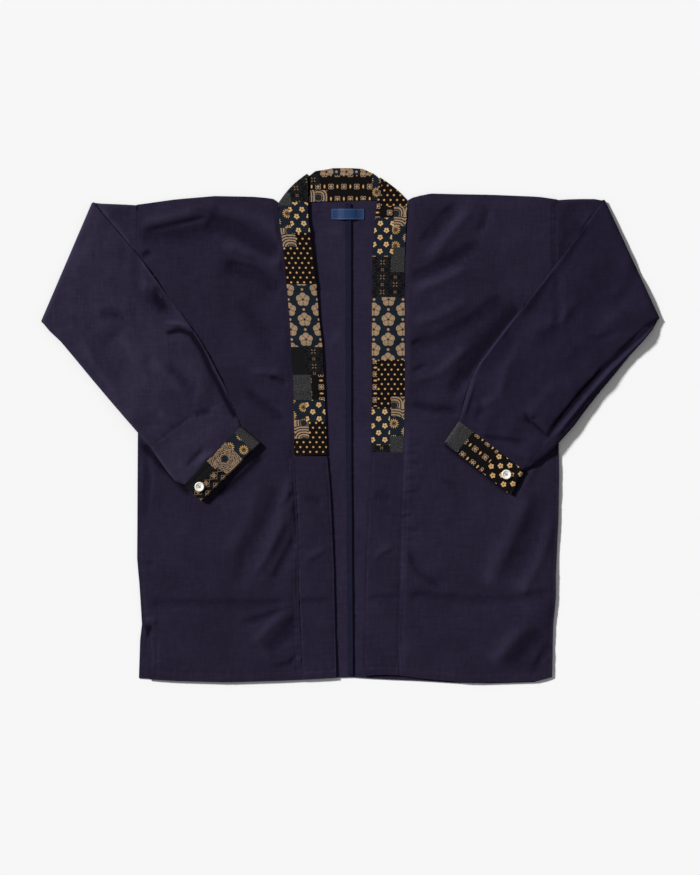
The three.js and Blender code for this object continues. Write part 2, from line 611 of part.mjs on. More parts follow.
// A cuff is a flattened ring of doubled cloth that carries on from the sleeve's end.
function cuffStations(shape) {
  const seam = shape.arm[shape.arm.length - 1];
  const { wrist } = shape;
  const down = new THREE.Vector2(wrist.ax - seam.ax, wrist.ay - seam.ay).normalize();
  const stations = [];
  for (let k = 0; k < CUFF_RINGS; k += 1) {
    const t = k / (CUFF_RINGS - 1);
    const gap = SEAM_GAP * (1 - t);
    stations.push({
      ax: mix(seam.ax, wrist.ax, t) + down.x * gap, ay: mix(seam.ay, wrist.ay, t) + down.y * gap,
      bx: mix(seam.bx, wrist.bx, t) + down.x * gap, by: mix(seam.by, wrist.by, t) + down.y * gap,
    });
  }
  return { stations, down };
}

function addCuff(name, shape) {
  const { stations, down } = cuffStations(shape);
  const place = (isInner) => (i, j) => {
    const { x, y, depth, wall } = ringPlace(stations[i], j, CUFF_THICK, DOUBLE_CLOTH, isInner);
    const past = CUFF_UNDERLAP * wall * (i / (CUFF_RINGS - 1));
    const z = restHeight(x, y) + CUFF_THICK - depth;
    return [x + down.x * past, y + down.y * past, z];
  };
  add(name, tube(CUFF_RINGS, AROUND.length, place(false), place(true)), PATCHWORK);
}

function addButton(name, { x, y }) {
  const profile = BUTTON_PROFILE.map(({ r, z }) => new THREE.Vector2(r, z));
  const geometry = new THREE.LatheGeometry(profile, BUTTON_SEGMENTS);
  geometry.rotateX(Math.PI / 2);
  const button = add(name, geometry, SHELL);
  const rim = BUTTON_RADIUS;
  const corners = [[rim, 0], [-rim, 0], [0, rim], [0, -rim]];
  const seat = Math.max(...corners.map(([dx, dy]) => restHeight(x + dx, y + dy)));
  button.position.set(x, y, seat + CUFF_THICK + BUTTON_LIFT);
}

addSleeve('sleeve_left', SLEEVE_STATIONS.left, -1);
addSleeve('sleeve_right', SLEEVE_STATIONS.right, 1);
addCuff('cuff_left', SLEEVE_STATIONS.left);
addCuff('cuff_right', SLEEVE_STATIONS.right);
addButton('button_left', SLEEVE_STATIONS.left.button);
addButton('button_right', SLEEVE_STATIONS.right.button);

// ------------------------------------------------------------------ collar and bands

// Stations of a table with more between them, so that no step on the seam side is too long.
function denser(stations, step) {
  const dense = [stations[0]];
  for (let k = 1; k < stations.length; k += 1) {
    const from = stations[k - 1];
    const to = stations[k];
    const parts = Math.ceil(Math.abs(to.oy - from.oy) / step);
    for (let p = 1; p <= parts; p += 1) {
      const row = {};
      for (const key of Object.keys(from)) row[key] = mix(from[key], to[key], p / parts);
      dense.push(row);
    }
  }
  return dense;
}

const crown = (share) => ARM_CROWN * Math.sin(Math.PI * share);

// A collar arm lies on the front's edge of the back, and turns over the neck at its upper end.
function addCollarArm(name, side, sign, seam) {
  const axis = foldAxis(ARM_FOLD[side], COLLAR_PIVOT, sign);
  const flat = denser(ARM_STATIONS[side], ARM_STEP);
  const rows = flat.length + FOLD_STEPS + 1;
  const place = (depthOf) => (i, j) => {
    const share = j / (ARM_COLUMNS - 1);
    const depth = depthOf(share);
    if (i < flat.length) {
      const { oy, ix, iy } = flat[i];
      const x = mix(read(seam, 'y', oy, 'x') - sign * SEAM_GAP / 2, ix, share);
      const y = mix(oy, iy, share);
      return [x, y, read(ARM_BASE, 'y', y, 'z') + DOUBLE_CLOTH - depth];
    }
    const angle = Math.PI * (1 - (i - flat.length) / FOLD_STEPS);
    const x = mix(axis.ax, axis.bx, share);
    const y = mix(axis.ay, axis.by, share);
    return turned(x, y, Math.max(0, depth), axis, COLLAR_PIVOT, angle);
  };
  const upper = place((share) => -crown(share));
  const lower = place(() => DOUBLE_CLOTH);
  add(name, sheet(rows, ARM_COLUMNS, upper, lower), PATCHWORK);
}

function addCollarBack() {
  const columns = NECK_STATIONS.length;
  const place = (height) => (i, j) => {
    const { bx, by, tx, ty } = NECK_STATIONS[j];
    const share = i / (NECK_ROWS - 1);
    return [mix(bx, tx, share), mix(by, ty, share), height];
  };
  add('collar_back', sheet(NECK_ROWS, columns, place(DOUBLE_CLOTH), place(0)), PATCHWORK);
}

// A plain band carries the collar arm's line on down to the hem.
function addBand(name, top, seam, edge, hem, sign) {
  const marks = [top, ...seam.map(({ y }) => y).filter((y) => y < top)];
  const levels = linesThrough({ marks, step: BAND_STEP });
  const place = (height) => (i, j) => {
    const level = levels[i];
    const share = j / (BAND_COLUMNS - 1);
    const seamX = (at) => read(seam, 'y', at, 'x') - sign * SEAM_GAP / 2;
    const across = (at) => mix(seamX(at), read(edge, 'y', at, 'x'), share);
    const nearHem = ease(1 - (level - HEM) / EDGE_FADE);
    const y = level + (read(hem, 'x', across(level), 'y') - HEM) * nearHem;
    return [across(y), y, read(ARM_BASE, 'y', y, 'z') + height(share)];
  };
  const upper = place((share) => DOUBLE_CLOTH + crown(share));
  add(name, sheet(levels.length, BAND_COLUMNS, upper, place(() => 0)), TWILL);
}

addCollarArm('collar_left', 'left', -1, FRONT_SEAM_LEFT);
addCollarArm('collar_right', 'right', 1, FRONT_SEAM_RIGHT);
addCollarBack();
addBand('band_left', BAND_TOP.left, FRONT_SEAM_LEFT, BAND_EDGE_LEFT, HEM_BAND_LEFT, -1);
addBand('band_right', BAND_TOP.right, FRONT_SEAM_RIGHT, BAND_EDGE_RIGHT, HEM_BAND_RIGHT, 1);

// ------------------------------------------------------------------ inside of the back

// The felled allowance lies to the left of the centre seam, its free edge standing a little.
function addSeamStrip() {
  const { thick, widthTop, widthHem, lift, columns, step } = SEAM_STRIP;
  const levels = linesThrough({ marks: [SEAM_STRIP_TOP, SEAM_STRIP_HEM], step });
  const place = (height) => (i, j) => {
    const y = levels[i];
    const share = j / (columns - 1);
    const width = mix(widthTop, widthHem, i / (levels.length - 1));
    const x = read(CENTRE_BACK, 'y', y, 'x') - width * (1 - share);
    return [x, y, CLOTH + LAYER_GAP + lift * share * share + height];
  };
  add('centre_back_seam', sheet(levels.length, columns, place(thick), place(0)), TWILL);
}

// The woven label lies over the seam strip, and bends up over it.
function addLabel() {
  const { x1, x2, y1, y2, thick, arch, spread } = LABEL;
  const seamX = read(CENTRE_BACK, 'y', y2, 'x') - SEAM_STRIP.widthTop / 2;
  const place = (height) => (i, j) => {
    const x = mix(x1, x2, j / (LABEL_COLUMNS - 1));
    const away = (x - seamX) / spread;
    const y = mix(y1, y2, i);
    return [x, y, CLOTH + LAYER_GAP + arch * Math.exp(-(away ** 4)) + height];
  };
  add('label', sheet(2, LABEL_COLUMNS, place(thick), place(0)), WOVEN_LABEL);
}

addSeamStrip();
addLabel();

// ------------------------------------------------------------------ frame

// The jacket is set with the middle of its outline over the origin, on the surface.
jacket.updateMatrixWorld(true);
const box = new THREE.Box3().setFromObject(jacket, true);
const middle = box.getCenter(new THREE.Vector3());
jacket.position.set(-middle.x, -middle.y, -box.min.z);
jacket.updateMatrixWorld(true);

export default jacket;
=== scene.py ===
# %% [markdown]
# # A noragi jacket, laid flat
# A noragi is a Japanese work jacket: straight panels of cotton twill, straight sleeves set on at a
# dropped shoulder, and one long collar strip that goes on down the front edges as two bands. Here
# it lies on a table with both sleeves folded in over the fronts. The solids of the jacket are
# loaded first, as a fixed frame, so each piece of cloth below is cut, creased and sewn where its
# solid lies.

# %% Load the cut panels
import math

import bmesh
import bpy
import numpy as np
from mathutils import Matrix, Vector, noise
from mathutils.bvhtree import BVHTree


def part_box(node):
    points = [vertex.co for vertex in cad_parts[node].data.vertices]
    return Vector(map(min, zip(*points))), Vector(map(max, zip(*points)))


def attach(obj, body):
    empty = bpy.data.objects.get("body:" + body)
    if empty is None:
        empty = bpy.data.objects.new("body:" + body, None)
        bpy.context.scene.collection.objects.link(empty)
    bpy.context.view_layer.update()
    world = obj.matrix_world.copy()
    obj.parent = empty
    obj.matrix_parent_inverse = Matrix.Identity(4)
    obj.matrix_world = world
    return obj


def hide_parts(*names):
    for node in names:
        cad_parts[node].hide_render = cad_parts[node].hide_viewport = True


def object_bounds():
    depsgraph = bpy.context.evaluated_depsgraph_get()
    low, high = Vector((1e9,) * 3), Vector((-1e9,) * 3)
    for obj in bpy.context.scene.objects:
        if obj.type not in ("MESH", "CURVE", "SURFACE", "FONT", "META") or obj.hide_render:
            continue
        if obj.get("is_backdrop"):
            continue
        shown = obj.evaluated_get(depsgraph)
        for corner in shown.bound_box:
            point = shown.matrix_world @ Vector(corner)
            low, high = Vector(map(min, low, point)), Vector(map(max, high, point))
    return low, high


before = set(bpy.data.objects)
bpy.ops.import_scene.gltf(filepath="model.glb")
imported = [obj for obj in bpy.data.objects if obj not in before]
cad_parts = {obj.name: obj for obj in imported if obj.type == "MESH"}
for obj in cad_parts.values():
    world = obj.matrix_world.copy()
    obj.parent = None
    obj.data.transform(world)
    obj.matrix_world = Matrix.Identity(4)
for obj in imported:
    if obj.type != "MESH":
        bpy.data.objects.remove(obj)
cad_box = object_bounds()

MM = 0.001
SIDES = ("left", "right")
print("panels:", ", ".join(sorted(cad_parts)))

# %% [markdown]
# ## The camera
# Folded clothes are shown from straight above. A camera close to the cloth would spread the
# thicker parts outwards, so this one hangs five metres up and looks through a long lens.

# %% Hang the camera over the jacket
SHOT_HEIGHT = 5.0
SHOT_TALL = 1.356
SHOT_CENTRE = (-0.0005, -0.0182)
SENSOR = 24.0


def placed(name, data):
    """A new object in the scene."""
    thing = bpy.data.objects.new(name, data)
    bpy.context.scene.collection.objects.link(thing)
    return thing


lens = bpy.data.cameras.new("overhead_lens")
lens.sensor_fit = "VERTICAL"
lens.sensor_height = SENSOR
lens.lens = SENSOR * SHOT_HEIGHT / SHOT_TALL
lens.clip_end = 10 * SHOT_HEIGHT
overhead = placed("overhead", lens)
overhead.location = (*SHOT_CENTRE, SHOT_HEIGHT)
bpy.context.scene.camera = overhead
bpy.context.scene.view_settings.view_transform = "Standard"
print("lens", round(lens.lens, 1), "mm")

# %% [markdown]
# ## Table and light
# The table is one pale sheet. The lamp stands low on the upper left, so that every fold has a lit
# side and a dark side, and the pale room around it fills the shadows without removing them.

# %% Lay the table and set the lamp
TABLE_WIDE = 14.0
TABLE_DROP = 0.0002
ROOM_GLOW = 0.24
KEY_SPOT = (-4.2, 2.72, 2.66)
KEY_SOFT = math.radians(7)
KEY_POWER = 5.3


def new_material(name):
    """A material with its tree of nodes and its shader."""
    finish = bpy.data.materials.new(name)
    finish.use_nodes = True
    return finish, finish.node_tree, finish.node_tree.nodes["Principled BSDF"]


def set_inputs(node, **values):
    """Sets inputs of a node by their names, with _ for each blank."""
    for name, value in values.items():
        node.inputs[name.replace("_", " ")].default_value = value


def mesh_of(cut, name):
    """The mesh of a finished bmesh."""
    mesh = bpy.data.meshes.new(name)
    cut.to_mesh(mesh)
    cut.free()
    return mesh


top = bmesh.new()
bmesh.ops.create_grid(top, x_segments=1, y_segments=1, size=TABLE_WIDE / 2,
                      matrix=Matrix.Translation((0, 0, -TABLE_DROP)))
table = placed("table_top", mesh_of(top, "table_top"))
white, _, shader = new_material("table_white")
set_inputs(shader, Base_Color=(0.9, 0.9, 0.9, 1), Roughness=0.8, Specular_IOR_Level=0.1)
table.data.materials.append(white)
table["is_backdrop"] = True

light = bpy.data.lights.new("key_lamp", "SUN")
light.energy = KEY_POWER
light.angle = KEY_SOFT
stand = placed("key_lamp", light)
stand.location = KEY_SPOT
stand.rotation_euler = (-Vector(KEY_SPOT)).to_track_quat("-Z", "Y").to_euler()
room = bpy.data.worlds.new("pale_room")
room.use_nodes = True
set_inputs(room.node_tree.nodes["Background"], Color=(1, 1, 1, 1), Strength=ROOM_GLOW)
bpy.context.scene.world = room
print("lamp at", KEY_SPOT)

# %% [markdown]
# ## Sums inside a material
# A dyed cloth is a pattern worked out from where a spot lies on it. In Blender each sum of such a
# pattern is one Math node. Linking dozens of them by hand hides the pattern, so this small class
# lets a sum be written as a sum, and adds the nodes.


# %% A number that a material works out
class Amount:
    """A number with its own value at each spot of the cloth."""

    def __init__(self, tree, socket):
        self.tree = tree
        self.socket = socket

    def sum(self, operation, *others, clamp=False):
        node = self.tree.nodes.new("ShaderNodeMath")
        node.operation = operation
        node.use_clamp = clamp
        for plug, item in zip(node.inputs, (self, *others)):
            if isinstance(item, Amount):
                self.tree.links.new(item.socket, plug)
            else:
                plug.default_value = item
        return Amount(self.tree, node.outputs[0])

    def __add__(self, other):
        return self.sum("ADD", other)

    def __sub__(self, other):
        return self.sum("SUBTRACT", other)

    def __mul__(self, other):
        return self.sum("MULTIPLY", other)

    def __truediv__(self, other):
        return self.sum("DIVIDE", other)

    def fract(self):
        return self.sum("FRACT")

    def size(self):
        return self.sum("ABSOLUTE")

    def under(self, edge, blur):
        """1 where the amount is under the edge, 0 over it, with a soft step between."""
        return self.sum("MULTIPLY", -1 / blur).sum("ADD", edge / blur + 0.5, clamp=True)


def away(across, along):
    """How far (across, along) lies from the middle."""
    return (across * across + along * along).sum("SQRT")


def stained(tree, under, over, share):
    """The colour under, stained with the colour over by a share of 0 to 1."""
    node = tree.nodes.new("ShaderNodeMix")
    node.data_type = "RGBA"
    tree.links.new(share.socket, node.inputs[0])
    for plug, colour in ((node.inputs[6], under), (node.inputs[7], over)):
        if isinstance(colour, tuple):
            plug.default_value = colour
        else:
            tree.links.new(colour, plug)
    return node.outputs[2]


def dye(code):
    """A colour written as on a dye card, #rrggbb, as the light it sends back."""
    parts = [int(code[i:i + 2], 16) / 255 for i in (1, 3, 5)]
    return (*[p / 12.92 if p <= 0.04045 else ((p + 0.055) / 1.055) ** 2.4 for p in parts], 1)


# %% [markdown]
# ## Indigo twill
# Twill has fine ribs that climb across the cloth, and in a washed cotton the yarns are never quite
# alike: thick and thin ones leave faint streaks along and across the cloth. The material has both,
# as colour and as bump, and a little sheen from loose fibres. The grain turns with each piece.


# %% Noise, grain and bump
NOISE_ROUGH = 0.55


def noise_amount(tree, place, scale, detail=2.0):
    """Cloudy noise of that many spots a metre."""
    node = tree.nodes.new("ShaderNodeTexNoise")
    set_inputs(node, Scale=scale, Detail=detail, Roughness=NOISE_ROUGH)
    tree.links.new(place, node.inputs["Vector"])
    return Amount(tree, node.outputs["Fac"])


def turned_place(tree, turn, stretch):
    """Object coordinates, turned to the grain of a piece and stretched along it."""
    here = tree.nodes.new("ShaderNodeTexCoord")
    mapping = tree.nodes.new("ShaderNodeMapping")
    set_inputs(mapping, Rotation=(0, 0, -turn), Scale=stretch)
    tree.links.new(here.outputs["Object"], mapping.inputs["Vector"])
    return mapping.outputs["Vector"]


def bump_of(tree, height, strength, distance):
    node = tree.nodes.new("ShaderNodeBump")
    set_inputs(node, Strength=strength, Distance=distance)
    tree.links.new(height.socket, node.inputs["Height"])
    return node.outputs["Normal"]


def tone_shift_of(tree):
    """How far each spot is paler (over 0) or deeper (under 0): the rubbing at seams, the
    painted highlight and shade on cloth, and the paler border on a label.
    """
    worn = tree.nodes.new("ShaderNodeAttribute")
    worn.attribute_name = "tone_shift"
    return Amount(tree, worn.outputs["Fac"])


print("noise, grain and bump ready")

# %% [markdown]
# ## Dyeing the twill
# The light and dark of the cloth is one sum: streaks of the warp and weft, clouds of uneven dye,
# the wash, the ribs, the rubbing at seams, and the painted shade and highlight of the creases. It
# mixes the deep and the pale dye. In the bottom of the deepest creases a near-black is painted in
# as shade.


# %% Weave and dye the twill
def twill(name, deep, pale, grain, ribs=1150.0):
    """Cotton twill, from its deep and its pale dye, with its warp turned by grain."""
    cloth, tree, shader = new_material(name)
    place = turned_place(tree, grain, (1, 1, 1))
    warp = noise_amount(tree, turned_place(tree, grain, (1, 0.06, 1)), 620, 3.0)
    weft = noise_amount(tree, turned_place(tree, grain, (0.06, 1, 1)), 540, 3.0)
    cloud = noise_amount(tree, place, 14, 3.0)
    wash = noise_amount(tree, place, 120, 2.0)
    split = tree.nodes.new("ShaderNodeSeparateXYZ")
    tree.links.new(place, split.inputs[0])
    slant = Amount(tree, split.outputs[0]) + Amount(tree, split.outputs[1])
    rib = (slant * (ribs * math.tau)).sum("SINE")
    # Rubbing at seams, and the painted shade and highlight of creases, as kept on the mesh.
    paler_by = tone_shift_of(tree)
    light = (warp * 0.56 + weft * 0.48 + cloud * 0.6 + wash * 0.3 + rib * 0.07 + paler_by * 0.5
             + -0.47).sum("ADD", 0, clamp=True)
    dyed = stained(tree, dye(deep), dye(pale), light)
    # Painted shade: the deepest crease troughs are stained near-black.
    deep_crease_shade = (paler_by * -2.0).sum("SUBTRACT", 1.2, clamp=True)
    tree.links.new(stained(tree, dyed, dye(CREASE_SHADE_COLOUR), deep_crease_shade), shader.inputs["Base Color"])
    tree.links.new((cloud * 0.12 + 0.84).socket, shader.inputs["Roughness"])
    set_inputs(shader, Specular_IOR_Level=0.07, Sheen_Weight=0.06, Sheen_Roughness=0.5,
               Sheen_Tint=SHEEN_TINT)
    height = rib * 0.3 + warp * 0.8 + weft * 0.6 + wash * 0.9
    tree.links.new(bump_of(tree, height, 0.32, 0.0006), shader.inputs["Normal"])
    return cloth


# Near-black painted into the deepest crease troughs as shade.
CREASE_SHADE_COLOUR = "#0a0511"
SHEEN_TINT = (0.62, 0.6, 0.9, 1)
NAVY = ("#120c1e", "#2b2639")
INSIDE = ("#161023", "#2f2a3f")
SLEEVE_TURN = {"left": math.radians(-37), "right": math.radians(39)}
SLEEVE_DYE = {"left": ("#161024", "#332e41"), "right": ("#110b1d", "#272236")}
twill_body = twill("navy_twill", *NAVY, 0)
twill_inside = twill("navy_twill_inside", *INSIDE, 0)
twill_sleeve = {side: twill("navy_twill_sleeve_" + side, *SLEEVE_DYE[side], turn)
                for side, turn in SLEEVE_TURN.items()}
twill_strip = twill("navy_twill_strip", "#0d0d1a", "#191a30", 0)
print("twill in", len(bpy.data.materials), "materials")

# %% [markdown]
# ## From solid to cloth
# A solid panel has the right outline but big flat facets. A merged copy of it gets its triangles
# paired, both skins of its top wall split finer, and its heights smoothed, so the facets become one
# soft surface with the same edge. The outline itself is only let out by a hair, so no seam opens.


# %% Helpers that turn a solid into cloth
CELL = 2.8 * MM
LOOKS_UP = 0.25
TOP_WALL = 2.2 * MM
OFF_EDGE = 0.004 * MM
CRISP = math.radians(55)
MERGED = 0.005 * MM
PAIR_ANGLE = 0.8
PAIR_SHAPE = 3.0
SEAM_EASE = 0.14 * MM
STEEP = 0.5
ONE_WAY = 0.2
MOST_SPLITS = 7
DOWN = Vector((0, 0, -1))
UP = Vector((0, 0, 1))


def let_out(cut):
    """Lets the outline of a panel out a hair, so that sewn edges nearly meet."""
    for point in cut.verts:
        walls = [f.normal.xy for f in point.link_faces if abs(f.normal.z) < STEEP]
        way = sum(walls, Vector((0, 0)))
        if walls and way.length > ONE_WAY:
            point.co.xy += way.normalized() * SEAM_EASE


def copy_of(node):
    """A merged copy of a node's mesh, its triangles paired to quads."""
    cut = bmesh.new()
    cut.from_mesh(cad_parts[node].data)
    bmesh.ops.remove_doubles(cut, verts=cut.verts, dist=MERGED)
    bmesh.ops.join_triangles(cut, faces=cut.faces, angle_face_threshold=PAIR_ANGLE,
                             angle_shape_threshold=PAIR_SHAPE)
    cut.normal_update()
    let_out(cut)
    for edge in cut.edges:
        edge.smooth = edge.calc_face_angle(0) < CRISP
    return cut


def tree_of(mesh):
    """The surfaces of a mesh, ready for rays."""
    cut = bmesh.new()
    cut.from_mesh(mesh)
    tree = BVHTree.FromBMesh(cut)
    cut.free()
    return tree


def top_of(tree, spot):
    """Height of the highest surface at a spot, in metres."""
    hit = tree.ray_cast(Vector((spot.x + OFF_EDGE, spot.y, 1)), DOWN)[0]
    return hit.z if hit else 0


def split_finer(cut, cell=CELL, within=1.0):
    """Splits both skins of the top wall until none of its edges is longer than the cell, up to
    that far from the centre back."""
    tree = BVHTree.FromBMesh(cut)
    for _ in range(MOST_SPLITS):
        long = set()
        for face in cut.faces:
            edges = [e for e in face.edges if e.calc_length() > cell]
            if edges and abs(face.normal.z) > LOOKS_UP:
                spot = face.calc_center_median()
                if abs(spot.x) < within and spot.z > top_of(tree, spot) - TOP_WALL:
                    long.update(edges)
        if not long:
            break
        bmesh.ops.subdivide_edges(cut, edges=list(long), cuts=1, use_grid_fill=True,
                                  use_single_edge=True)
        cut.normal_update()


def soften(cut, rounds):
    """Smooths the heights of the upper and the lower skin, apart from their rims."""
    skin = [v for v in cut.verts
            if all(f.normal.z > LOOKS_UP for f in v.link_faces)
            or all(f.normal.z < -LOOKS_UP for f in v.link_faces)]
    for _ in range(rounds):
        bmesh.ops.smooth_vert(cut, verts=skin, factor=0.5, use_axis_x=False, use_axis_y=False,
                              use_axis_z=True)


def soft_copy(node, cell=CELL, rounds=26):
    """A copy of a node, split to that cell and smoothed."""
    cut = copy_of(node)
    split_finer(cut, cell)
    soften(cut, rounds)
    return cut


def piece_of(cut, name, finish, nodes=()):
    """The finished piece: it rides on the jacket's body and stands for those nodes."""
    mesh = mesh_of(cut, name)
    mesh.shade_smooth()
    mesh.materials.append(finish)
    piece = placed(name, mesh)
    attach(piece, "root")
    if nodes:
        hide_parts(*nodes)
    print(name, len(mesh.polygons), "faces")
    return piece


# %% [markdown]
# ## Creases
# Cloth that has been folded and stored keeps sharp little creases in its broad soft folds. Each is
# a line with a height and a width on either side: a ridge where the height is above 0, a trough
# where it is below. A crease is steep on one side and soft on the other, as a pressed fold is.


# %% How far a spot lies from a line, and the creases
TAPER = 24.0
TAPER_SHARE = 2.5
BLUNT = 0.15


def beside(spots, line):
    """For each spot (mm): its distance from the line, its side of it, and how far along it lies."""
    nearest = np.full(len(spots), 1e9)
    side = np.ones(len(spots))
    run = np.zeros(len(spots))
    start = 0.0
    for a, b in zip(np.array(line[:-1], float), np.array(line[1:], float)):
        along = b - a
        length = math.hypot(*along)
        share = np.clip((spots - a) @ along / length ** 2, 0, 1)
        off = spots - (a + share[:, None] * along)
        far = np.hypot(off[:, 0], off[:, 1])
        closer = far < nearest
        nearest[closer] = far[closer]
        side[closer] = np.sign(along[0] * off[:, 1] - along[1] * off[:, 0])[closer]
        run[closer] = (start + share * length)[closer]
        start += length
    return nearest, side, run, start


def eased(share):
    share = np.clip(share, 0, 1)
    return share * share * (3 - 2 * share)


def charted(chart):
    """Reads a chart of lines. Each row has the line's sizes, a bar, and its points as x,y in mm."""
    rows = []
    for row in chart.strip().splitlines():
        sizes, points = row.split("|")
        line = [tuple(float(n) for n in point.split(",")) for point in points.split()]
        rows.append((line, *(float(size) for size in sizes.split())))
    return rows


def crease_heights(spots, creases):
    """Height in mm that the creases add at each spot. A crease is (line, width on its left, width
    on its right, height)."""
    height = np.zeros(len(spots))
    for line, left, right, rise in creases:
        far, side, run, total = beside(spots, line)
        width = np.where(side > 0, left, right)
        taper = min(TAPER, total / TAPER_SHARE)
        ends = eased(run / taper + BLUNT) * eased((total - run) / taper + BLUNT)
        height += rise * np.exp(-(far / width) ** 2) * ends
    return height


def ripple(spots, size, depth, seed):
    """Slight unevenness of the cloth, spots of that size in mm."""
    return np.array([depth * noise.noise(Vector((x / size, y / size, seed))) for x, y in spots])


def spots_of(mesh):
    """The points of a mesh in mm, as rows of x, y, z."""
    co = np.empty(len(mesh.vertices) * 3)
    mesh.vertices.foreach_get("co", co)
    return co.reshape(-1, 3) / MM


def put_back(mesh, spots):
    mesh.vertices.foreach_set("co", (spots * MM).ravel())
    mesh.update()


print("creases ready")

# %% [markdown]
# ## Seams that follow a panel's edge
# Hems and topstitching run at an even distance from an edge. So the lines are measured off the
# panel itself: the panel's own edge is found level by level, and moved in by the seam's width.


# %% Read a panel's edge
EDGE_POINTS = 24
HEM_INSET = 12.0
SIDE_INSET = 3.6
BAND_INSET = 1.6
TWIN_INSETS = (1.8, 7.6)


def edge_line(node, side, start, end, inset):
    """Points (mm) on a line that follows one edge of a node, inset from it. side is left, right,
    top or bottom, and start and end are levels along that edge."""
    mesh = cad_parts[node].data
    spots = spots_of(mesh)
    pairs = np.empty(len(mesh.edges) * 2, int)
    mesh.edges.foreach_get("vertices", pairs)
    a, b = spots[pairs[0::2]], spots[pairs[1::2]]
    level, reach = (1, 0) if side in ("left", "right") else (0, 1)
    outward = max if side in ("right", "top") else min
    line = []
    for at in np.linspace(start, end, EDGE_POINTS):
        crosses = (a[:, level] - at) * (b[:, level] - at) < 0
        p, q = a[crosses], b[crosses]
        share = (at - p[:, level]) / (q[:, level] - p[:, level])
        far = outward(p[:, reach] + share * (q[:, reach] - p[:, reach]))
        far += inset if outward is min else -inset
        line.append((at, far) if level == 0 else (far, at))
    return line


def twin(node, side, start, end):
    """Two lines of stitches side by side along one edge of a node."""
    return [edge_line(node, side, start, end, inset) for inset in TWIN_INSETS]


seams = {
    "front_left": [
        edge_line("front_left", "bottom", -306, -80, HEM_INSET),
        edge_line("front_left", "left", -300, -46, SIDE_INSET),
        [(-308.6, -388), (-308.6, -316)], [(-299, -388), (-299, -330)],
        *twin("front_left", "right", -380, -48),
    ],
    "front_right": [
        edge_line("front_right", "bottom", 80, 316, HEM_INSET),
        edge_line("front_right", "right", -384, -46, SIDE_INSET),
        *twin("front_right", "right", 262, 338),
        *twin("front_right", "left", -380, -44),
    ],
    "band_left": [
        edge_line("band_left", "bottom", -85, -25, HEM_INSET),
        edge_line("band_left", "right", -376, -52, BAND_INSET),
    ],
    "band_right": [
        edge_line("band_right", "bottom", 24, 78, HEM_INSET),
        edge_line("band_right", "left", -372, -46, BAND_INSET),
    ],
    "back_left": [edge_line("back_left", "bottom", -22, 0, HEM_INSET)],
    "back_right": [edge_line("back_right", "bottom", 4, 24, HEM_INSET)],
}
print("seams:", sum(len(lines) for lines in seams.values()))

# %% [markdown]
# ## Room to move in
# A layer of cloth can sink only until it meets the layer under it, and rise only until it meets the
# one over it. Rays find both: one from above counts the surfaces that it passes, and one from the
# table up meets the first solid that lies over the piece.


# %% Find what lies under and over a spot
SOFT_STOP = 0.6
FAR_UP = 1e3


def layers_at(mesh, spots):
    """For each spot (mm): the top of the mesh there, and the first surface under its top wall."""
    tree = tree_of(mesh)
    top = spots[:, 2].copy()
    under = np.zeros(len(spots))
    for i, (x, y, _) in enumerate(spots):
        place = Vector((x * MM + OFF_EDGE, y * MM, 1))
        levels = []
        while len(levels) < 3:
            hit = tree.ray_cast(place, DOWN)[0]
            if not hit:
                break
            levels.append(hit.z / MM)
            place.z = hit.z - OFF_EDGE
        if levels:
            top[i] = levels[0]
        if len(levels) > 2:
            under[i] = levels[2]
    return top, under


def kept_over(heights, lowest):
    """The heights, eased so that none goes under lowest."""
    over = np.clip((heights - lowest) / SOFT_STOP, -30, 30)
    return lowest + SOFT_STOP * np.log1p(np.exp(over))


def room_above(spots, nodes):
    """Height (mm) of the lowest of those solids over each spot, or far up where there is none."""
    trees = [tree_of(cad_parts[node].data) for node in nodes]
    roof = np.full(len(spots), FAR_UP)
    for i, (x, y, _) in enumerate(spots):
        for tree in trees:
            hit = tree.ray_cast(Vector((x * MM, y * MM, -MM)), UP)[0]
            if hit:
                roof[i] = min(roof[i], hit.z / MM)
    return roof


print("rays ready")

# %% [markdown]
# ## Sewn grooves, rubbed edges and painted crease shade
# A line of stitches pulls the cloth down into a shallow groove, and small puckers stand beside it.
# Where cloth is doubled under a seam, its edge shows as a faint ridge and is rubbed paler in the
# wash. Each crease also gets painted highlight on its crest and painted shade in its trough. The
# groove and puckers are real relief; the rubbing and the painted light and shade are kept in one
# number at each point.


# %% Press the creases and grooves into a piece
RELIEF = 7.5
GROOVE_DEEP = 0.55
GROOVE_WIDE = 1.9
PUCKER_REACH = 7.0
PUCKER_HIGH = 0.5
PUCKER_LONG = 6.5
PUCKER_OFF = 3
RUBBED_OFF = 1.7
RUBBED_LEAST, RUBBED_WAVE, RUBBED_MOST = 0.12, 0.7, 0.5
CLEARANCE = 0.35
THINNEST = 0.5
RIM_TILT = 0.2
RIM_FADE = 0.6
FULL_CREASE = 0.36
FOLD_SHADE = 0.62
RIPPLES = ((90, 3.0), (38, 1.2), (14, 0.16))


def keep_tone_shift(mesh, tone_shift):
    kept = mesh.attributes.new("tone_shift", "FLOAT", "POINT")
    kept.data.foreach_set("value", tone_shift.astype(np.float32))


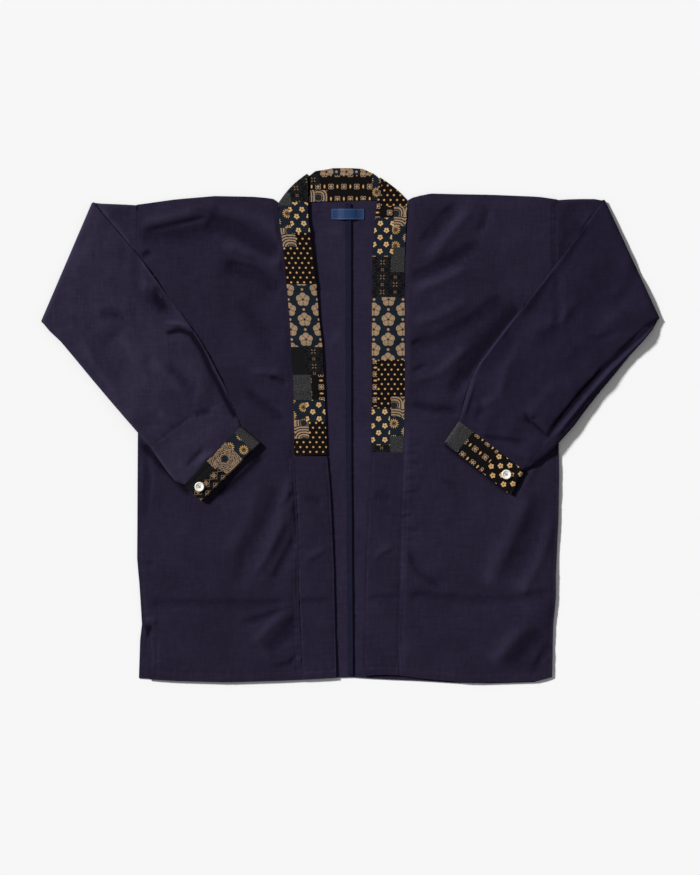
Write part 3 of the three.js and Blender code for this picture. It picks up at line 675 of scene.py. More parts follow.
def press(piece, creases, lines, lowest, ripples=RIPPLES, seed=0.0, over=(), relief=RELIEF,
          calm=(), lift=0.0, shades=()):
    """Adds creases, sewn grooves and slight ripples to the top wall of a piece. Its seams' rubbing
    and the painted shade and highlight of its creases are kept at each point. No point of it goes
    under lowest (mm), or into what lies under or over it. The relief and the lift fade out at the
    calm
    lines. A shade is (line, width, amount): painted shade where the amount is under 0, painted
    highlight where it is over 0."""
    spots = spots_of(piece.data)
    plan = spots[:, :2]
    height = crease_heights(plan, creases)
    # Painted shade in each crease's trough and painted highlight on its crest; then painted shade
    # and highlight along the listed shade lines.
    tone_shift = np.clip(height / FULL_CREASE, -1, 1) * FOLD_SHADE
    for line, wide, amount in shades:
        tone_shift += amount * np.exp(-(beside(plan, line)[0] / wide) ** 2)
    height = height * relief + lift
    for size, depth in ripples:
        height += ripple(plan, size, depth, seed + size)
    for line, wide in calm:
        height *= eased(beside(plan, line)[0] / wide)
    for line in lines:
        far, side, run, total = beside(plan, line)
        height -= GROOVE_DEEP * np.exp(-(far / GROOVE_WIDE) ** 2)
        waves = np.array([noise.noise(Vector((r / PUCKER_LONG, seed, total))) for r in run])
        near = np.exp(-((far - PUCKER_OFF) / PUCKER_REACH) ** 2)
        height += PUCKER_HIGH * waves * near
        paler_by = np.clip(RUBBED_LEAST + waves * RUBBED_WAVE, 0, RUBBED_MOST)
        tone_shift += paler_by * np.exp(-(far - RUBBED_OFF) ** 2)
    normals = np.empty(len(spots) * 3)
    piece.data.vertices.foreach_get("normal", normals)
    top, under = layers_at(piece.data, spots)
    inner = np.where(normals[2::3] < 0, THINNEST, 0)
    level = eased((np.abs(normals[2::3]) - RIM_TILT) / RIM_FADE)
    facing = level * (spots[:, 2] > top - TOP_WALL / MM)
    bottom = np.maximum(lowest, under + 2 * THINNEST) - inner
    raised = kept_over(spots[:, 2] + height, np.minimum(bottom, spots[:, 2]))
    if over:
        ceiling = room_above(spots, over) - CLEARANCE - inner
        raised = np.minimum(raised, np.maximum(ceiling, spots[:, 2]))
    spots[:, 2] += (raised - spots[:, 2]) * facing
    put_back(piece.data, spots)
    keep_tone_shift(piece.data, np.clip(tone_shift, -1, 1))


# %% [markdown]
# ## The back
# Two straight panels lie on the table, joined at the centre back. Little of them shows: the inside
# of the neck, the gap between the front bands, and the hem.

# %% Lay the back panels
COVERED_CELL = 8 * MM
SHOWN_CELL = 3.4 * MM
SHOWN_HALF = 110 * MM
BACK_CREASES = charted("""
    10 4 0.35 | -38,300 -8,296
    9 4 0.35 | 30,250 62,268
    8 4 0.3 | -34,120 -10,150
    3.0 2.4 2.0 | -322,-309 -325,-330 -326,-356
""")
for side in SIDES:
    cut = copy_of("back_" + side)
    split_finer(cut, COVERED_CELL)
    split_finer(cut, SHOWN_CELL, within=SHOWN_HALF)
    back = piece_of(cut, "cloth_back_" + side, twill_inside, ["back_" + side])
    above = ["front_" + side, "collar_" + side, "band_" + side, "centre_back_seam", "label"]
    press(back, BACK_CREASES, seams["back_" + side], lowest=0.8, relief=1.0,
          ripples=((60, 0.5), (15, 0.12)), seed=3.0, over=above)

# %% [markdown]
# ## The fronts
# Each front lies on its back panel and stands a few millimetres off it in the middle. Its broad
# folds come with the solid. Pressed into them are the sharper creases of a jacket that was folded
# into a packet: slanting pulls from the shoulders and the collar seam, and one storage crease that
# runs level across both fronts near the hem.

# %% Chart the fronts' creases
FRONT_CREASES = {
    "left": charted("""
        3.4 3.4 -0.3 | -318,301 -270,311 -220,323
        9 18 -0.34 | -330,292 -262,298 -200,304
        8 7 0.3 | -325,313 -280,321 -232,333
        18 12 -0.62 | -224,319 -171,300 -108,254
        12 12 0.35 | -210,334 -137,316 -94,288
        6 16 -0.6 | -195,252 -137,236 -102,212
        12 8 0.4 | -199,279 -143,264 -103,246
        4 7 -0.35 | -326,262 -305,269
        14 14 -0.22 | -171,195 -137,148 -125,99
        5 10 -0.4 | -162,55 -131,34 -97,7
        3 6 -0.4 | -125,76 -95,65
        8 5 0.25 | -156,83 -100,80
        12 10 -0.25 | -111,-92 -129,-143 -163,-203 -176,-252
        9 10 0.22 | -88,-70 -104,-130 -135,-200
        10 13 0.2 | -137,-80 -156,-143 -190,-206
        9 5 -0.32 | -81,-165 -100,-202 -122,-242
        7 7 0.26 | -97,-138 -122,-190 -148,-231
        7 4.5 -0.22 | -83,-98 -108,-132
        5 10 -0.24 | -312,-275 -226,-273 -156,-276 -83,-272
        7 4 -0.38 | -91,-281 -128,-293 -171,-307
        12 9 -0.45 | -80,-289 -97,-320 -131,-351
        8 8 0.25 | -91,-264 -116,-304 -153,-341
        6 4 -0.4 | -81,-355 -94,-369 -119,-374
        6 6 -0.2 | -311,-208 -308,-220
        4 6 0.3 | -317,-298 -298,-304
        6 9 -0.3 | -315,-25 -312,-84 -319,-146
        4.5 4.5 -0.5 | -328,-22 -298,-56 -264,-90 -240,-115
        9 7 -0.16 | -226,-123 -178,-95 -143,-61 -125,-38
    """),
    "right": charted("""
        15 7 -0.36 | 168,345 145,322 109,279
        9 12 0.3 | 191,338 160,307 123,254
        7 7 -0.25 | 216,341 207,313 194,297
        12 8 -0.34 | 205,284 165,262 129,243 92,226
        9 9 0.34 | 95,206 139,224 185,247
        8 14 -0.6 | 263,189 222,142 185,93 157,43
        12 9 -0.36 | 241,201 185,161 139,136 94,124
        8 10 0.25 | 185,195 139,170 94,155
        8 8 0.25 | 185,125 139,83 94,68
        5 8 -0.6 | 173,21 132,23 92,33
        4.4 3.6 -0.18 | 94,125 114,131
        4.4 3.6 -0.2 | 94,83 120,93
        20 16 -0.25 | 303,-103 278,-162 238,-242
        14 16 0.32 | 278,-107 244,-185 210,-255
        8 12 0.24 | 314,-146 294,-208 263,-270
        8 5 -0.3 | 88,-193 109,-231 148,-255
        6 11 -0.26 | 83,-264 108,-261 185,-270 263,-267 314,-258
        16 12 -0.33 | 303,-314 278,-344 244,-382
        11 12 0.34 | 274,-307 244,-340 219,-376
        6 6 -0.4 | 314,-332 294,-363 275,-388
        6 6 -0.16 | 139,-84 173,-98
        6 6 0.2 | 294,-45 278,-78 266,-100
        2.4 4 -0.11 | 86,-33 115,-28
        2.4 4 -0.143 | 84,-44 105,-41
        2.4 4 -0.176 | 84,-56 114,-59
        2.4 4 -0.11 | 83,-66 101,-66
        2.4 4 -0.143 | 83,-84 105,-81
        2.4 4 -0.176 | 81,-104 114,-101
        2.4 4 -0.11 | 81,-124 108,-131
        2.4 4 -0.143 | 80,-140 98,-138
        2.4 4 -0.176 | 80,-157 111,-165
        2.4 4 -0.11 | 80,-179 101,-177
        2.4 4 -0.143 | 78,-208 101,-217
    """),
}
print("creases:", {side: len(rows) for side, rows in FRONT_CREASES.items()})

# %% [markdown]
# ## Laying the fronts
# Near the armholes, the collar seams and the hem the cloth is held level, so the relief fades out
# towards those lines. A few spots get painted shadow as well: the open top of the left vent, the
# cloth beside the left sleeve's edge and close under the cuffs; and the broad fold by the right
# sleeve gets painted shade.


# %% Lay the fronts
ARMHOLE_CALM = 14.0
SEAM_CALM = 9.0
HEM_CALM = 40.0
HEM = [(-330, -390), (330, -390)]
SEED_STEP = {"left": 0.0, "right": 2.0}
armholes = {side: edge_line("front_" + side, side, 166, 338, 0) for side in SIDES}
collar_seams = {"left": edge_line("front_left", "right", -388, 338, 0),
                "right": edge_line("front_right", "left", -384, 338, 0)}
# Painted shadows in the open top of the left vent, beside the left sleeve's lower edge and close
# under both cuffs, and painted shade in the broad fold by the right sleeve.
FRONT_SHADES = {
    "left": charted("""
        4 -2.4 | -312,-313 -325,-338 -331,-348
        4.5 -1.3 | -314,-33 -290,-58 -268,-81 -252,-97
        5 -0.9 | -142,-50 -171,-78 -200,-103
    """),
    "right": charted("""
        14 -0.25 | 250,172 215,128 182,82
        4 -1.1 | 149,-31 189,-62 242,-101
    """),
}
for side in SIDES:
    cut = soft_copy("front_" + side)
    front = piece_of(cut, "cloth_front_" + side, twill_body, ["front_" + side])
    press(front, FRONT_CREASES[side], seams["front_" + side], lowest=2.4, seed=7 + SEED_STEP[side],
          over=["sleeve_" + side, "cuff_" + side],
          calm=[(armholes[side], ARMHOLE_CALM), (collar_seams[side], SEAM_CALM), (HEM, HEM_CALM)],
          lift=1.0, shades=FRONT_SHADES[side])
    "cloth_back_" + side

# %% [markdown]
# ## The sleeves
# A sleeve is one tube of twill, pressed flat. It leaves the armhole as a short stub and is folded
# in over the front, so its cuff points at the hem. The fold keeps the cloth thick and round along
# the outer edge; the hooked pleat and the cross seam above the cuff are pressed in.

# %% Chart the sleeves' creases
SLEEVE_CREASES = {
    "left": charted("""
        3.4 4.4 -0.5 | -281,144 -263,148 -246,142 -231,120 -216,87 -180,16
        3.8 4 0.34 | -290,158 -262,158 -240,149 -223,124 -207,90 -174,22
        6 3 0.24 | -388,339 -319,252 -249,159
        14 16 -0.22 | -309,207 -295,192 -280,173
        5 9 0.16 | -323,221 -311,218 -298,212
        8 10 -0.28 | -388,170 -367,173 -345,164
        8 8 -0.22 | -286,94 -258,74 -233,46
        9 9 0.22 | -311,102 -277,74 -252,43
        3 4 -0.4 | -212,21 -235,17 -240,21
        7 5 0.24 | -298,21 -280,9 -258,3
        9 9 0.18 | -441,316 -447,257 -460,207
        8 8 0.2 | -416,133 -382,77 -348,24
        12 12 0.16 | -357,148 -326,99 -308,52
        6 5 0.3 | -240,-69 -224,-50 -205,-38
        4 4 -0.25 | -255,-66 -240,-50 -224,-34
        6 5 0.18 | -311,-38 -289,-62 -264,-87
    """),
    "right": charted("""
        3 7 0.24 | 380,339 325,254 263,176 204,99 194,77
        10 14 -0.3 | 371,316 318,244 263,167
        3.4 4 -0.45 | 472,163 433,127 397,94 360,53 306,-13
        3.6 3.6 0.4 | 477,156 439,119 404,86 367,45 313,-21
        16 14 0.16 | 440,200 400,160 350,120
        18 14 -0.16 | 420,250 380,210 330,150
        3 5 0.3 | 194,74 185,46 174,9
        14 11 -0.22 | 329,167 312,142 287,124
        8 8 0.2 | 356,195 325,167 294,148
        10 10 -0.2 | 449,254 430,210 405,176
        6 6 -0.2 | 415,148 384,133 362,139
        9 9 0.22 | 263,133 239,83 229,37
        9 9 0.2 | 325,68 294,40 269,9
        3.4 3.4 -0.28 | 264,15 284,3 306,-17
        3 3 -0.35 | 269,20 278,9 291,12
        3 6 -0.38 | 204,-16 238,-21 275,-27
        6 6 0.2 | 185,28 210,34 232,46
        5 5 -0.25 | 198,43 204,24 194,6
        5 5 0.25 | 247,-34 272,-47 284,-56
    """),
}
print("creases:", {side: len(rows) for side, rows in SLEEVE_CREASES.items()})

# %% [markdown]
# ## Folding the sleeves in
# Along its inner edge a pressed sleeve is only as thick as its cloth. So its heights are shrunk
# there towards the underside before the creases are pressed in.

# %% Fold the sleeves in
SLEEVE_SEAMS = {
    "left": [[(-198, 35), (-236, 21), (-260, 4), (-298, -25)]],
    "right": [[(475, 164), (436, 126), (401, 93), (365, 52), (309, -14), (300, -25), (269, -70)]],
}
INNER_EDGES = {
    "left": [(-334, 276), (-300, 226), (-252, 161), (-212, 96), (-180, 28), (-170, 0)],
    "right": [(320, 253), (269, 188), (219, 123), (186, 70), (168, 8)],
}
UNDER_SLEEVE = 5.6
PRESSED = {"left": 0.5, "right": 0.66}
PRESS_REACH = 46.0


def flatten(piece, line, base, share):
    """Presses a tube flat near one of its edges: heights over the base shrink to that share."""
    spots = spots_of(piece.data)
    far = beside(spots[:, :2], line)[0]
    over = spots[:, 2] > base
    kept = share + (1 - share) * eased(far / PRESS_REACH)
    spots[over, 2] = base + (spots[over, 2] - base) * kept[over]
    put_back(piece.data, spots)


# Painted shade in the left pleat, the dent and a trough, and along the right under-arm seam, its
# broad trough and its cuff seam; painted highlight along the left sleeve's ridge and the right
# sleeve's inner edge; and a darker stretch of the left stub by the armhole.
SLEEVE_SHADES = {
    "left": charted("""
        15 -0.42 | -334,336 -328,262
        3 -1.7 | -281,144 -263,148 -246,142 -231,120 -216,87 -180,16
        13 -0.6 | -301,199 -291,186
        12 -0.2 | -368,173 -352,170
        5 0.3 | -388,339 -252,161
    """),
    "right": charted("""
        3 -1.5 | 472,163 433,127 397,94 360,53 306,-13
        15 -0.3 | 371,316 318,244 263,167 219,105
        2.8 -0.5 | 260,10 284,3 306,-17
        5 0.25 | 320,253 219,123 186,70
    """),
}


for side in SIDES:
    node = "sleeve_" + side
    sleeve = piece_of(soft_copy(node, rounds=18), "cloth_" + node, twill_sleeve[side],
                      [node])
    flatten(sleeve, INNER_EDGES[side], UNDER_SLEEVE, PRESSED[side])
    press(sleeve, SLEEVE_CREASES[side], SLEEVE_SEAMS[side], lowest=1.6,
          ripples=((70, 3.0), (30, 1.5), (13, 0.3)), seed=21 + SEED_STEP[side],
          calm=[(armholes[side], ARMHOLE_CALM)], shades=SLEEVE_SHADES[side])
    "cloth_front_" + side

# %% [markdown]
# ## The lower bands
# Below the patchwork the collar strip goes on in plain twill to the hem, doubled, with its fold at
# the front edge and a line of stitches just inside it.

# %% Sew on the lower bands
BAND_CREASES = {
    "left": charted("""
        5 8 -0.22 | -84,-272 -24,-271
        8 5 0.2 | -76,-212 -34,-188
        9 6 -0.2 | -72,-112 -38,-122
    """),
    "right": charted("""
        5 8 -0.22 | 24,-267 80,-266
        8 5 0.2 | 32,-207 70,-183
        9 6 -0.2 | 36,-107 66,-117
    """),
}
for side in SIDES:
    cut = soft_copy("band_" + side, 2.2 * MM, 10)
    band = piece_of(cut, "cloth_band_" + side, twill_body, ["band_" + side])
    press(band, BAND_CREASES[side], seams["band_" + side], lowest=1.6,
          ripples=((36, 0.3), (12, 0.1)), seed=31 + SEED_STEP[side])
    "cloth_back_" + side

# %% [markdown]
# ## The centre-back strip
# Inside the back, the seam is felled: its allowance is turned over and sewn flat to one side. The
# strip is a deeper, bluer navy than the rest, since it was folded away from the light.

# %% Fell the centre-back seam
cut = soft_copy("centre_back_seam", 2.0 * MM, 0)
strip = piece_of(cut, "cloth_centre_back", twill_strip, ["centre_back_seam"])
strip_lines = [edge_line("centre_back_seam", "left", -380, 340, 1.2)]
press(strip, [], strip_lines, lowest=2.0, ripples=((30, 0.2), (9, 0.1)), seed=41.0)

# %% [markdown]
# ## Printed cottons for the patchwork
# The collar and cuffs are pieced from small prints in the old manner: dots, plum blossom,
# chrysanthemum, waves, four-petal diamonds. Each print is a repeat, so it is worked out from how
# far a spot lies along and across the strip: the strip is divided into cells, and in each cell the
# distance to the middle and the direction from it say whether dye or ground shows. Those two
# lengths come from a map named run, laid on each strip in millimetres.

# %% Ways to repeat a motif
EDGE_BLUR = 0.5
GOLD = "#cda065"
PALE_GOLD = "#d9b078"
TAN = "#a3876a"
TEAL = "#151e28"
SOOT = "#0b0809"
FADED = "#151417"


class Print:
    """One printed cotton while it is being charted: its tree, and the two lengths on the strip."""

    def __init__(self, name, ground):
        self.cloth, self.tree, self.shader = new_material(name)
        run = self.tree.nodes.new("ShaderNodeUVMap")
        run.uv_map = "run"
        self.place = run.outputs[0]
        split = self.tree.nodes.new("ShaderNodeSeparateXYZ")
        self.tree.links.new(self.place, split.inputs[0])
        self.across = Amount(self.tree, split.outputs[0])
        self.along = Amount(self.tree, split.outputs[1])
        self.colour = dye(ground)

    def noise(self, spots, detail=2.0):
        """Cloudy noise with that many spots in a millimetre."""
        return noise_amount(self.tree, self.place, spots, detail)

    def cells(self, wide, tall, step=0.5, start=(0.0, 0.0)):
        """Distances from the middle of the cell. Each column is moved on by step of a cell."""
        column = (self.across + start[0]) / wide
        moved = column.sum("FLOOR") * step
        row = (self.along + start[1]) / tall + moved
        return (column.fract() - 0.5) * wide, (row.fract() - 0.5) * tall

    def print_on(self, colour, share):
        self.colour = stained(self.tree, self.colour, dye(colour), share)

    def finished(self):
        """Uneven ink, the weave of plain cotton, and the finished material."""
        worn = self.noise(0.45, 3.0)
        thread = self.noise(2.6, 1.0)
        uneven = (worn * 0.5 + thread * 0.6).sum("SUBTRACT", 0.32, clamp=True)
        faded = stained(self.tree, self.colour, dye(FADED), uneven * 0.6)
        self.tree.links.new(faded, self.shader.inputs["Base Color"])
        set_inputs(self.shader, Roughness=0.9, Specular_IOR_Level=0.08)
        bumps = bump_of(self.tree, thread, 0.3, 0.0004)
        self.tree.links.new(bumps, self.shader.inputs["Normal"])
        return self.cloth


def polar(across, along):
    """Distance from the middle and the direction from it, in radians."""
    return away(across, along), along.sum("ARCTAN2", across)


def petal_gap(reach, turn, count, ring, slim=1.0, start=0.0):
    """Distance to the nearest of count petals that stand on a ring; slim draws them out."""
    wedge = math.tau / count
    bent = ((turn + start) / wedge).fract() * wedge - wedge / 2
    out = (reach * bent.sum("COSINE") - ring) * slim
    return away(out, reach * bent.sum("SINE"))


print("print cells ready")

# %% [markdown]
# ## Plum blossom and dots
# The large plum blossom is the boldest print: five round petals, a dark eye, fine dark lines where
# petals meet, and a dot between one blossom and the next. The dotted print is rows of gold spots,
# each row half a step on from the last.


# %% Chart the blossom and the dots
def plum_print():
    chart = Print("print_plum", TEAL)
    across, along = chart.cells(22.4, 31.0, 0.5, (11.2, 6.0))
    reach, turn = polar(across, along)
    lobes = petal_gap(reach, turn, 5, 5.6, 1.0, 0.3)
    flower = lobes.under(5.0, EDGE_BLUR).sum("MAXIMUM", reach.under(7.6, EDGE_BLUR))
    chart.print_on(TAN, flower)
    veins = petal_gap(reach, turn, 5, 6.2, 0.16, 0.3 + math.pi / 5)
    chart.print_on("#5b4f45", veins.under(0.45, 0.5) * reach.under(8.6, 1.0))
    rims = (lobes - 2.9).size()
    chart.print_on("#6b5c4d", rims.under(0.35, 0.5) * 0.8)
    chart.print_on(TEAL, reach.under(1.9, EDGE_BLUR))
    dot = away(across, along.size() - 15.5)
    chart.print_on(TAN, dot.under(2.0, EDGE_BLUR))
    return chart.finished()


def dotted_print():
    chart = Print("print_dots", "#0d0606")
    across, along = chart.cells(5.0, 15.0, 0.5, (2.0, 3.0))
    chart.print_on(GOLD, away(across, along).under(1.45, 0.6))
    return chart.finished()


# %% [markdown]
# ## Small blossom, chrysanthemum, waves
# The small gold blossoms stand close together. A chrysanthemum is a ring of narrow petals round a
# dark middle. The wave print is one arch inside the next, drawn by a loose hand.


# %% Chart the small motifs
ARCH_POWER = 2.6
MEDALLION_AT = (-2.0, 73.0)


def small_blossom_print(name, ground):
    chart = Print(name, ground)
    across, along = chart.cells(9.6, 21.6, 0.5)
    reach, turn = polar(across, along)
    chart.print_on(PALE_GOLD, petal_gap(reach, turn, 5, 2.6, 1.0, 0.9).under(1.65, EDGE_BLUR))
    notches = petal_gap(reach, turn, 5, 3.2, 0.3, 0.9 + math.pi / 5)
    chart.print_on(ground, notches.under(0.3, 0.4) * 0.8)
    chart.print_on("#4a3826", reach.under(0.75, EDGE_BLUR))
    return chart.finished()


def chrysanthemum_print():
    chart = Print("print_chrysanthemum", TEAL)
    across, along = chart.cells(18.5, 25.0, 0.5, (0.0, 9.0))
    reach, turn = polar(across, along)
    chart.print_on(GOLD, petal_gap(reach, turn, 13, 5.3, 0.34).under(0.72, 0.4))
    chart.print_on("#8a6f4a", petal_gap(reach, turn, 9, 1.9, 0.8).under(0.4, 0.4))
    return chart.finished()


def wave_print():
    """Arches one inside the next. The power makes them squarer than circles."""
    chart = Print("print_waves", "#1d2328")
    across, along = chart.cells(27.0, 27.0, 0.0, (4.0, 0.0))
    low = along + 9.0
    squares = across.size().sum("POWER", ARCH_POWER) + low.size().sum("POWER", ARCH_POWER)
    rise = squares.sum("POWER", 1 / ARCH_POWER)
    shake = chart.noise(0.55) * 2.2
    rings = ((rise + shake) / 3.9).fract()
    arches = (rings - 0.5).size().under(0.27, 0.16)
    chart.print_on(TAN, arches * (rise * -1).under(-5.2, 1.0))
    return chart.finished()


def medallion_print():
    """One large ringed medallion, its rings scalloped and broken, round a dark middle."""
    chart = Print("print_medallion", TEAL)
    reach, turn = polar(chart.across - MEDALLION_AT[0], chart.along - MEDALLION_AT[1])
    lobed = reach * ((turn * 9).sum("COSINE") * 0.035 + 1) + chart.noise(0.3) * 6.0
    rings = (lobed / 3.0).fract()
    broken = (chart.noise(1.1) * -1).under(-0.43, 0.08)
    ringed = (rings - 0.5).size().under(0.3, 0.2) * (reach * -1).under(-5.5, 1.0)
    chart.print_on(TAN, ringed * broken)
    return chart.finished()


# %% [markdown]
# ## Diamonds, crosses, ash ground
# The darkest prints hold the others apart: four-petal diamonds with gold grains between them, small
# crosses on near black, a grey mottled ground, and a thin lattice for the cuffs.


# %% Chart the dark prints
def diamond_print():
    chart = Print("print_diamonds", SOOT)
    across, along = chart.cells(19.0, 20.0, 0.5, (10.0, 0.0))
    reach, turn = polar(across, along)
    petals = petal_gap(reach, turn, 4, 3.0)
    chart.print_on(TAN, (petals - 1.7).size().under(0.45, 0.5))
    chart.print_on(GOLD, reach.under(0.9, EDGE_BLUR))
    grain = away(across / 2.2, along.size() - 10.0)
    chart.print_on(GOLD, grain.under(1.3, 0.5))
    return chart.finished()


def cross_print():
    chart = Print("print_crosses", "#0b090c")
    across, along = chart.cells(20.0, 23.0, 0.5)
    reach, turn = polar(across, along)
    fan = petal_gap(reach, turn, 12, 8.0, 0.3)
    chart.print_on("#1d1e20", fan.under(1.2, 0.6))
    arms = petal_gap(reach, turn, 4, 3.1, 0.55)
    chart.print_on("#7d654c", arms.under(0.85, 0.5))
    small = petal_gap(*polar(across, along.size() - 11.5), 4, 1.7)
    chart.print_on("#937453", small.under(0.7, 0.5))
    return chart.finished()


def ash_print(name, ground, mid, pale):
    chart = Print(name, ground)
    mottle = chart.noise(0.5, 4.0)
    chart.print_on(mid, (mottle - 0.38).sum("MULTIPLY", 3.2, clamp=True))
    fine = chart.noise(0.7, 3.0)
    chart.print_on(pale, (fine - 0.5).sum("MULTIPLY", 5.0, clamp=True))
    return chart.finished()


def lattice_print():
    chart = Print("print_lattice", SOOT)
    across, along = chart.cells(15.0, 17.0, 0.5, (3.0, 0.0))
    slant = across.size() / 7.5 + along.size() / 8.5
    chart.print_on("#8d7a63", (slant - 0.92).size().under(0.045, 0.05))
    reach, turn = polar(across, along)
    chart.print_on(TAN, (petal_gap(reach, turn, 4, 2.3) - 1.4).size().under(0.4, 0.4))
    return chart.finished()


prints = {
    "plum": plum_print(), "dots": dotted_print(),
    "blossom": small_blossom_print("print_blossom", TEAL),
    "night_blossom": small_blossom_print("print_night_blossom", SOOT),
    "chrysanthemum": chrysanthemum_print(), "waves": wave_print(), "diamonds": diamond_print(),
    "crosses": cross_print(), "ash": ash_print("print_ash", "#1f1f21", "#353536", "#5a5a59"),
    "ash_shade": ash_print("print_ash_shade", "#0b090c", "#131214", "#1f1f20"),
    "lattice": lattice_print(), "medallion": medallion_print(),
}
print("prints:", ", ".join(prints))

# %% [markdown]
# ## Piecing a strip
# A patchwork strip is one doubled band of cloth. For piecing it is thought of as straight: every
# point gets its distance across the strip from the strip's middle line, and its distance along it.
# Cuts are made through the mesh along the patches' edges, and each face then takes the print of
# the patch that it lies in. A patch is (print, from, to, outer side from, to) in millimetres.


# %% Helpers for the patchwork
def middle_line(node, start, end):
    """The strip's middle across, as a curve of its level along Y, fitted between two levels."""
    left = np.array(edge_line(node, "left", start, end, 0))
    right = np.array(edge_line(node, "right", start, end, 0))
    return np.poly1d(np.polyfit(left[:, 1], (left[:, 0] + right[:, 0]) / 2, 2))


def cut_across(cut, patches, place):
    """Cuts the mesh along each patch's edges. place gives (across, along) in mm of a point."""
    for end in sorted({round(level, 2) for patch in patches for level in patch[1:3]}):
        split_level(cut, place, 1, end)
    for side in sorted({round(level, 2) for patch in patches for level in patch[3:5]}):
        split_level(cut, place, 0, side)


def split_level(cut, place, axis, value):
    """Splits each edge that crosses a level of the strip, and the faces between those splits."""
    crossing = []
    for edge in cut.edges:
        a, b = (place(v.co)[axis] - value for v in edge.verts)
        if a * b < -1e-6:
            crossing.append((edge, edge.verts[0], a / (a - b)))
    found = bmesh.ops.bisect_edges(cut, edges=[c[0] for c in crossing], cuts=1,
                                   edge_percents={c[0]: c[2] for c in crossing})
    made = [v for v in found["geom_split"] if isinstance(v, bmesh.types.BMVert)]
    bmesh.ops.connect_verts(cut, verts=made)


def pieced(piece, patches, place, ground):
    """Lays the map named run on the piece, and gives each face its patch's print."""
    mesh = piece.data
    mesh.materials.clear()
    used = {patch[0] for patch in patches}
    names = [ground] + [name for name in prints if name != ground and name in used]
    for name in names:
        mesh.materials.append(prints[name])
    run = mesh.uv_layers.new(name="run")
    at = [place(v.co) for v in mesh.vertices]
    for loop in mesh.loops:
        run.data[loop.index].uv = at[loop.vertex_index]
    for face in mesh.polygons:
        across, along = place(face.center)
        face.material_index = 0
        for name, start, end, inner, outer in patches:
            if start <= along <= end and inner <= across <= outer:
                face.material_index = names.index(name)
                break
    print(piece.name, "pieced from", ", ".join(names))


# %% [markdown]
# ## The collar
# The collar's two arms run down the fronts, and at the top they fold over the stretch behind the
# neck, which shows its outer side. Each arm's patches are listed from the shoulder down.

# %% Piece the collar
ARM_PATCHES = {
    "left": [
        ("crosses", 361, 400, -40, 40), ("ash", 341, 361, 0, 40), ("crosses", 346, 361, -40, 0),
        ("chrysanthemum", 306, 345, 6, 40), ("blossom", 298, 346, -40, 6),
        ("waves", 277, 306, 1, 40), ("dots", 219, 298, -40, 40),
        ("plum", 122, 219, -40, 40), ("ash_shade", 79, 122, 4, 40), ("crosses", 79, 122, -40, 40),
        ("ash", 40, 79, -4, 40), ("diamonds", 40, 79, -40, -4), ("chrysanthemum", 9, 40, 6, 40),
        ("blossom", 6, 40, -40, 6), ("waves", -20, 9, 2, 40), ("dots", -60, 9, -40, 40),
    ],
    "right": [
        ("diamonds", 330, 400, -40, -14), ("dots", 340, 400, -40, 40), ("waves", 309, 340, 6, 40),
        ("diamonds", 322, 340, -40, 6), ("chrysanthemum", 276, 309, 4, 40),
        ("blossom", 262, 322, -40, 6), ("ash", 238, 276, 3, 40), ("crosses", 199, 262, -40, 40),
        ("plum", 102, 199, -40, 40),
        ("waves", 14, 45, 5, 40), ("diamonds", 30, 102, -40, -17), ("dots", 27, 102, -40, 40),
        ("chrysanthemum", -16, 14, 3, 40), ("blossom", -30, 30, -40, 3), ("ash", -60, -16, 3, 40),
        ("crosses", -60, -30, -40, 3),
    ],
}
ARM_FOLD = {
    "left": ((-112, 345), (-67.5, 390.5), 3.4),
    "right": ((89, 347.6), (46.3, 384.6), 2.2),
}
ARM_SPAN = {"left": (-110, -40), "right": (34, 88)}
ARM_CREASES = (300, 214, 130, 52)
ARM_CELL = 3.2 * MM
FOLD_REACH = 16.0


def round_fold(cut, start, end, bulge):
    """Bows the folded end of an arm outwards (mm), since cloth never folds to a ruler's edge."""
    a, b = Vector(start) * MM, Vector(end) * MM
    along = b - a
    out = Vector((-along.y, along.x)).normalized()
    if out.y < 0:
        out.negate()
    for point in cut.verts:
        off = point.co.xy - a
        share = min(1, max(0, off.dot(along) / along.length_squared))
        near = math.exp(-(off.dot(out) / (FOLD_REACH * MM)) ** 2)
        point.co.xy += out * (bulge * MM * near * math.sin(math.pi * share))


for side, sign in (("left", -1), ("right", 1)):
    node = "collar_" + side
    middle = middle_line(node, -30, 320)

    def place(co, middle=middle, sign=sign):
        return sign * (co.x / MM - middle(co.y / MM)), co.y / MM

    cut = soft_copy(node, ARM_CELL, 8)
    round_fold(cut, *ARM_FOLD[side])
    cut_across(cut, ARM_PATCHES[side], place)
    arm = piece_of(cut, "cloth_collar_" + side, prints["dots"], [node])
    inner, outer = ARM_SPAN[side]
    creases = [([(inner, y), (outer, y + 3)], 6, 5, 0.14) for y in ARM_CREASES]
    press(arm, creases, [], lowest=1.6, ripples=((34, 0.3), (12, 0.12)),
          seed=51 + SEED_STEP[side])
    pieced(arm, ARM_PATCHES[side], place, "dots")
    "cloth_front_" + side

NECK_LEVEL = 371.0
NECK_PATCHES = [
    ("crosses", -140, -48, 2, 60), ("plum", -48, 36, 17, 60), ("waves", -62, -36, -40, -6),
    ("diamonds", -140, 34, -40, 60), ("chrysanthemum", 34, 52, -40, 60), ("dots", 52, 140, -40, 60),
]


def neck_place(co):
    return co.y / MM - NECK_LEVEL, co.x / MM


cut = soft_copy("collar_back", ARM_CELL, 8)
cut_across(cut, NECK_PATCHES, neck_place)
neck = piece_of(cut, "cloth_collar_back", prints["diamonds"], ["collar_back"])
press(neck, [], [], lowest=1.6, ripples=((30, 0.3), (10, 0.12)), seed=55.0)
pieced(neck, NECK_PATCHES, neck_place, "diamonds")

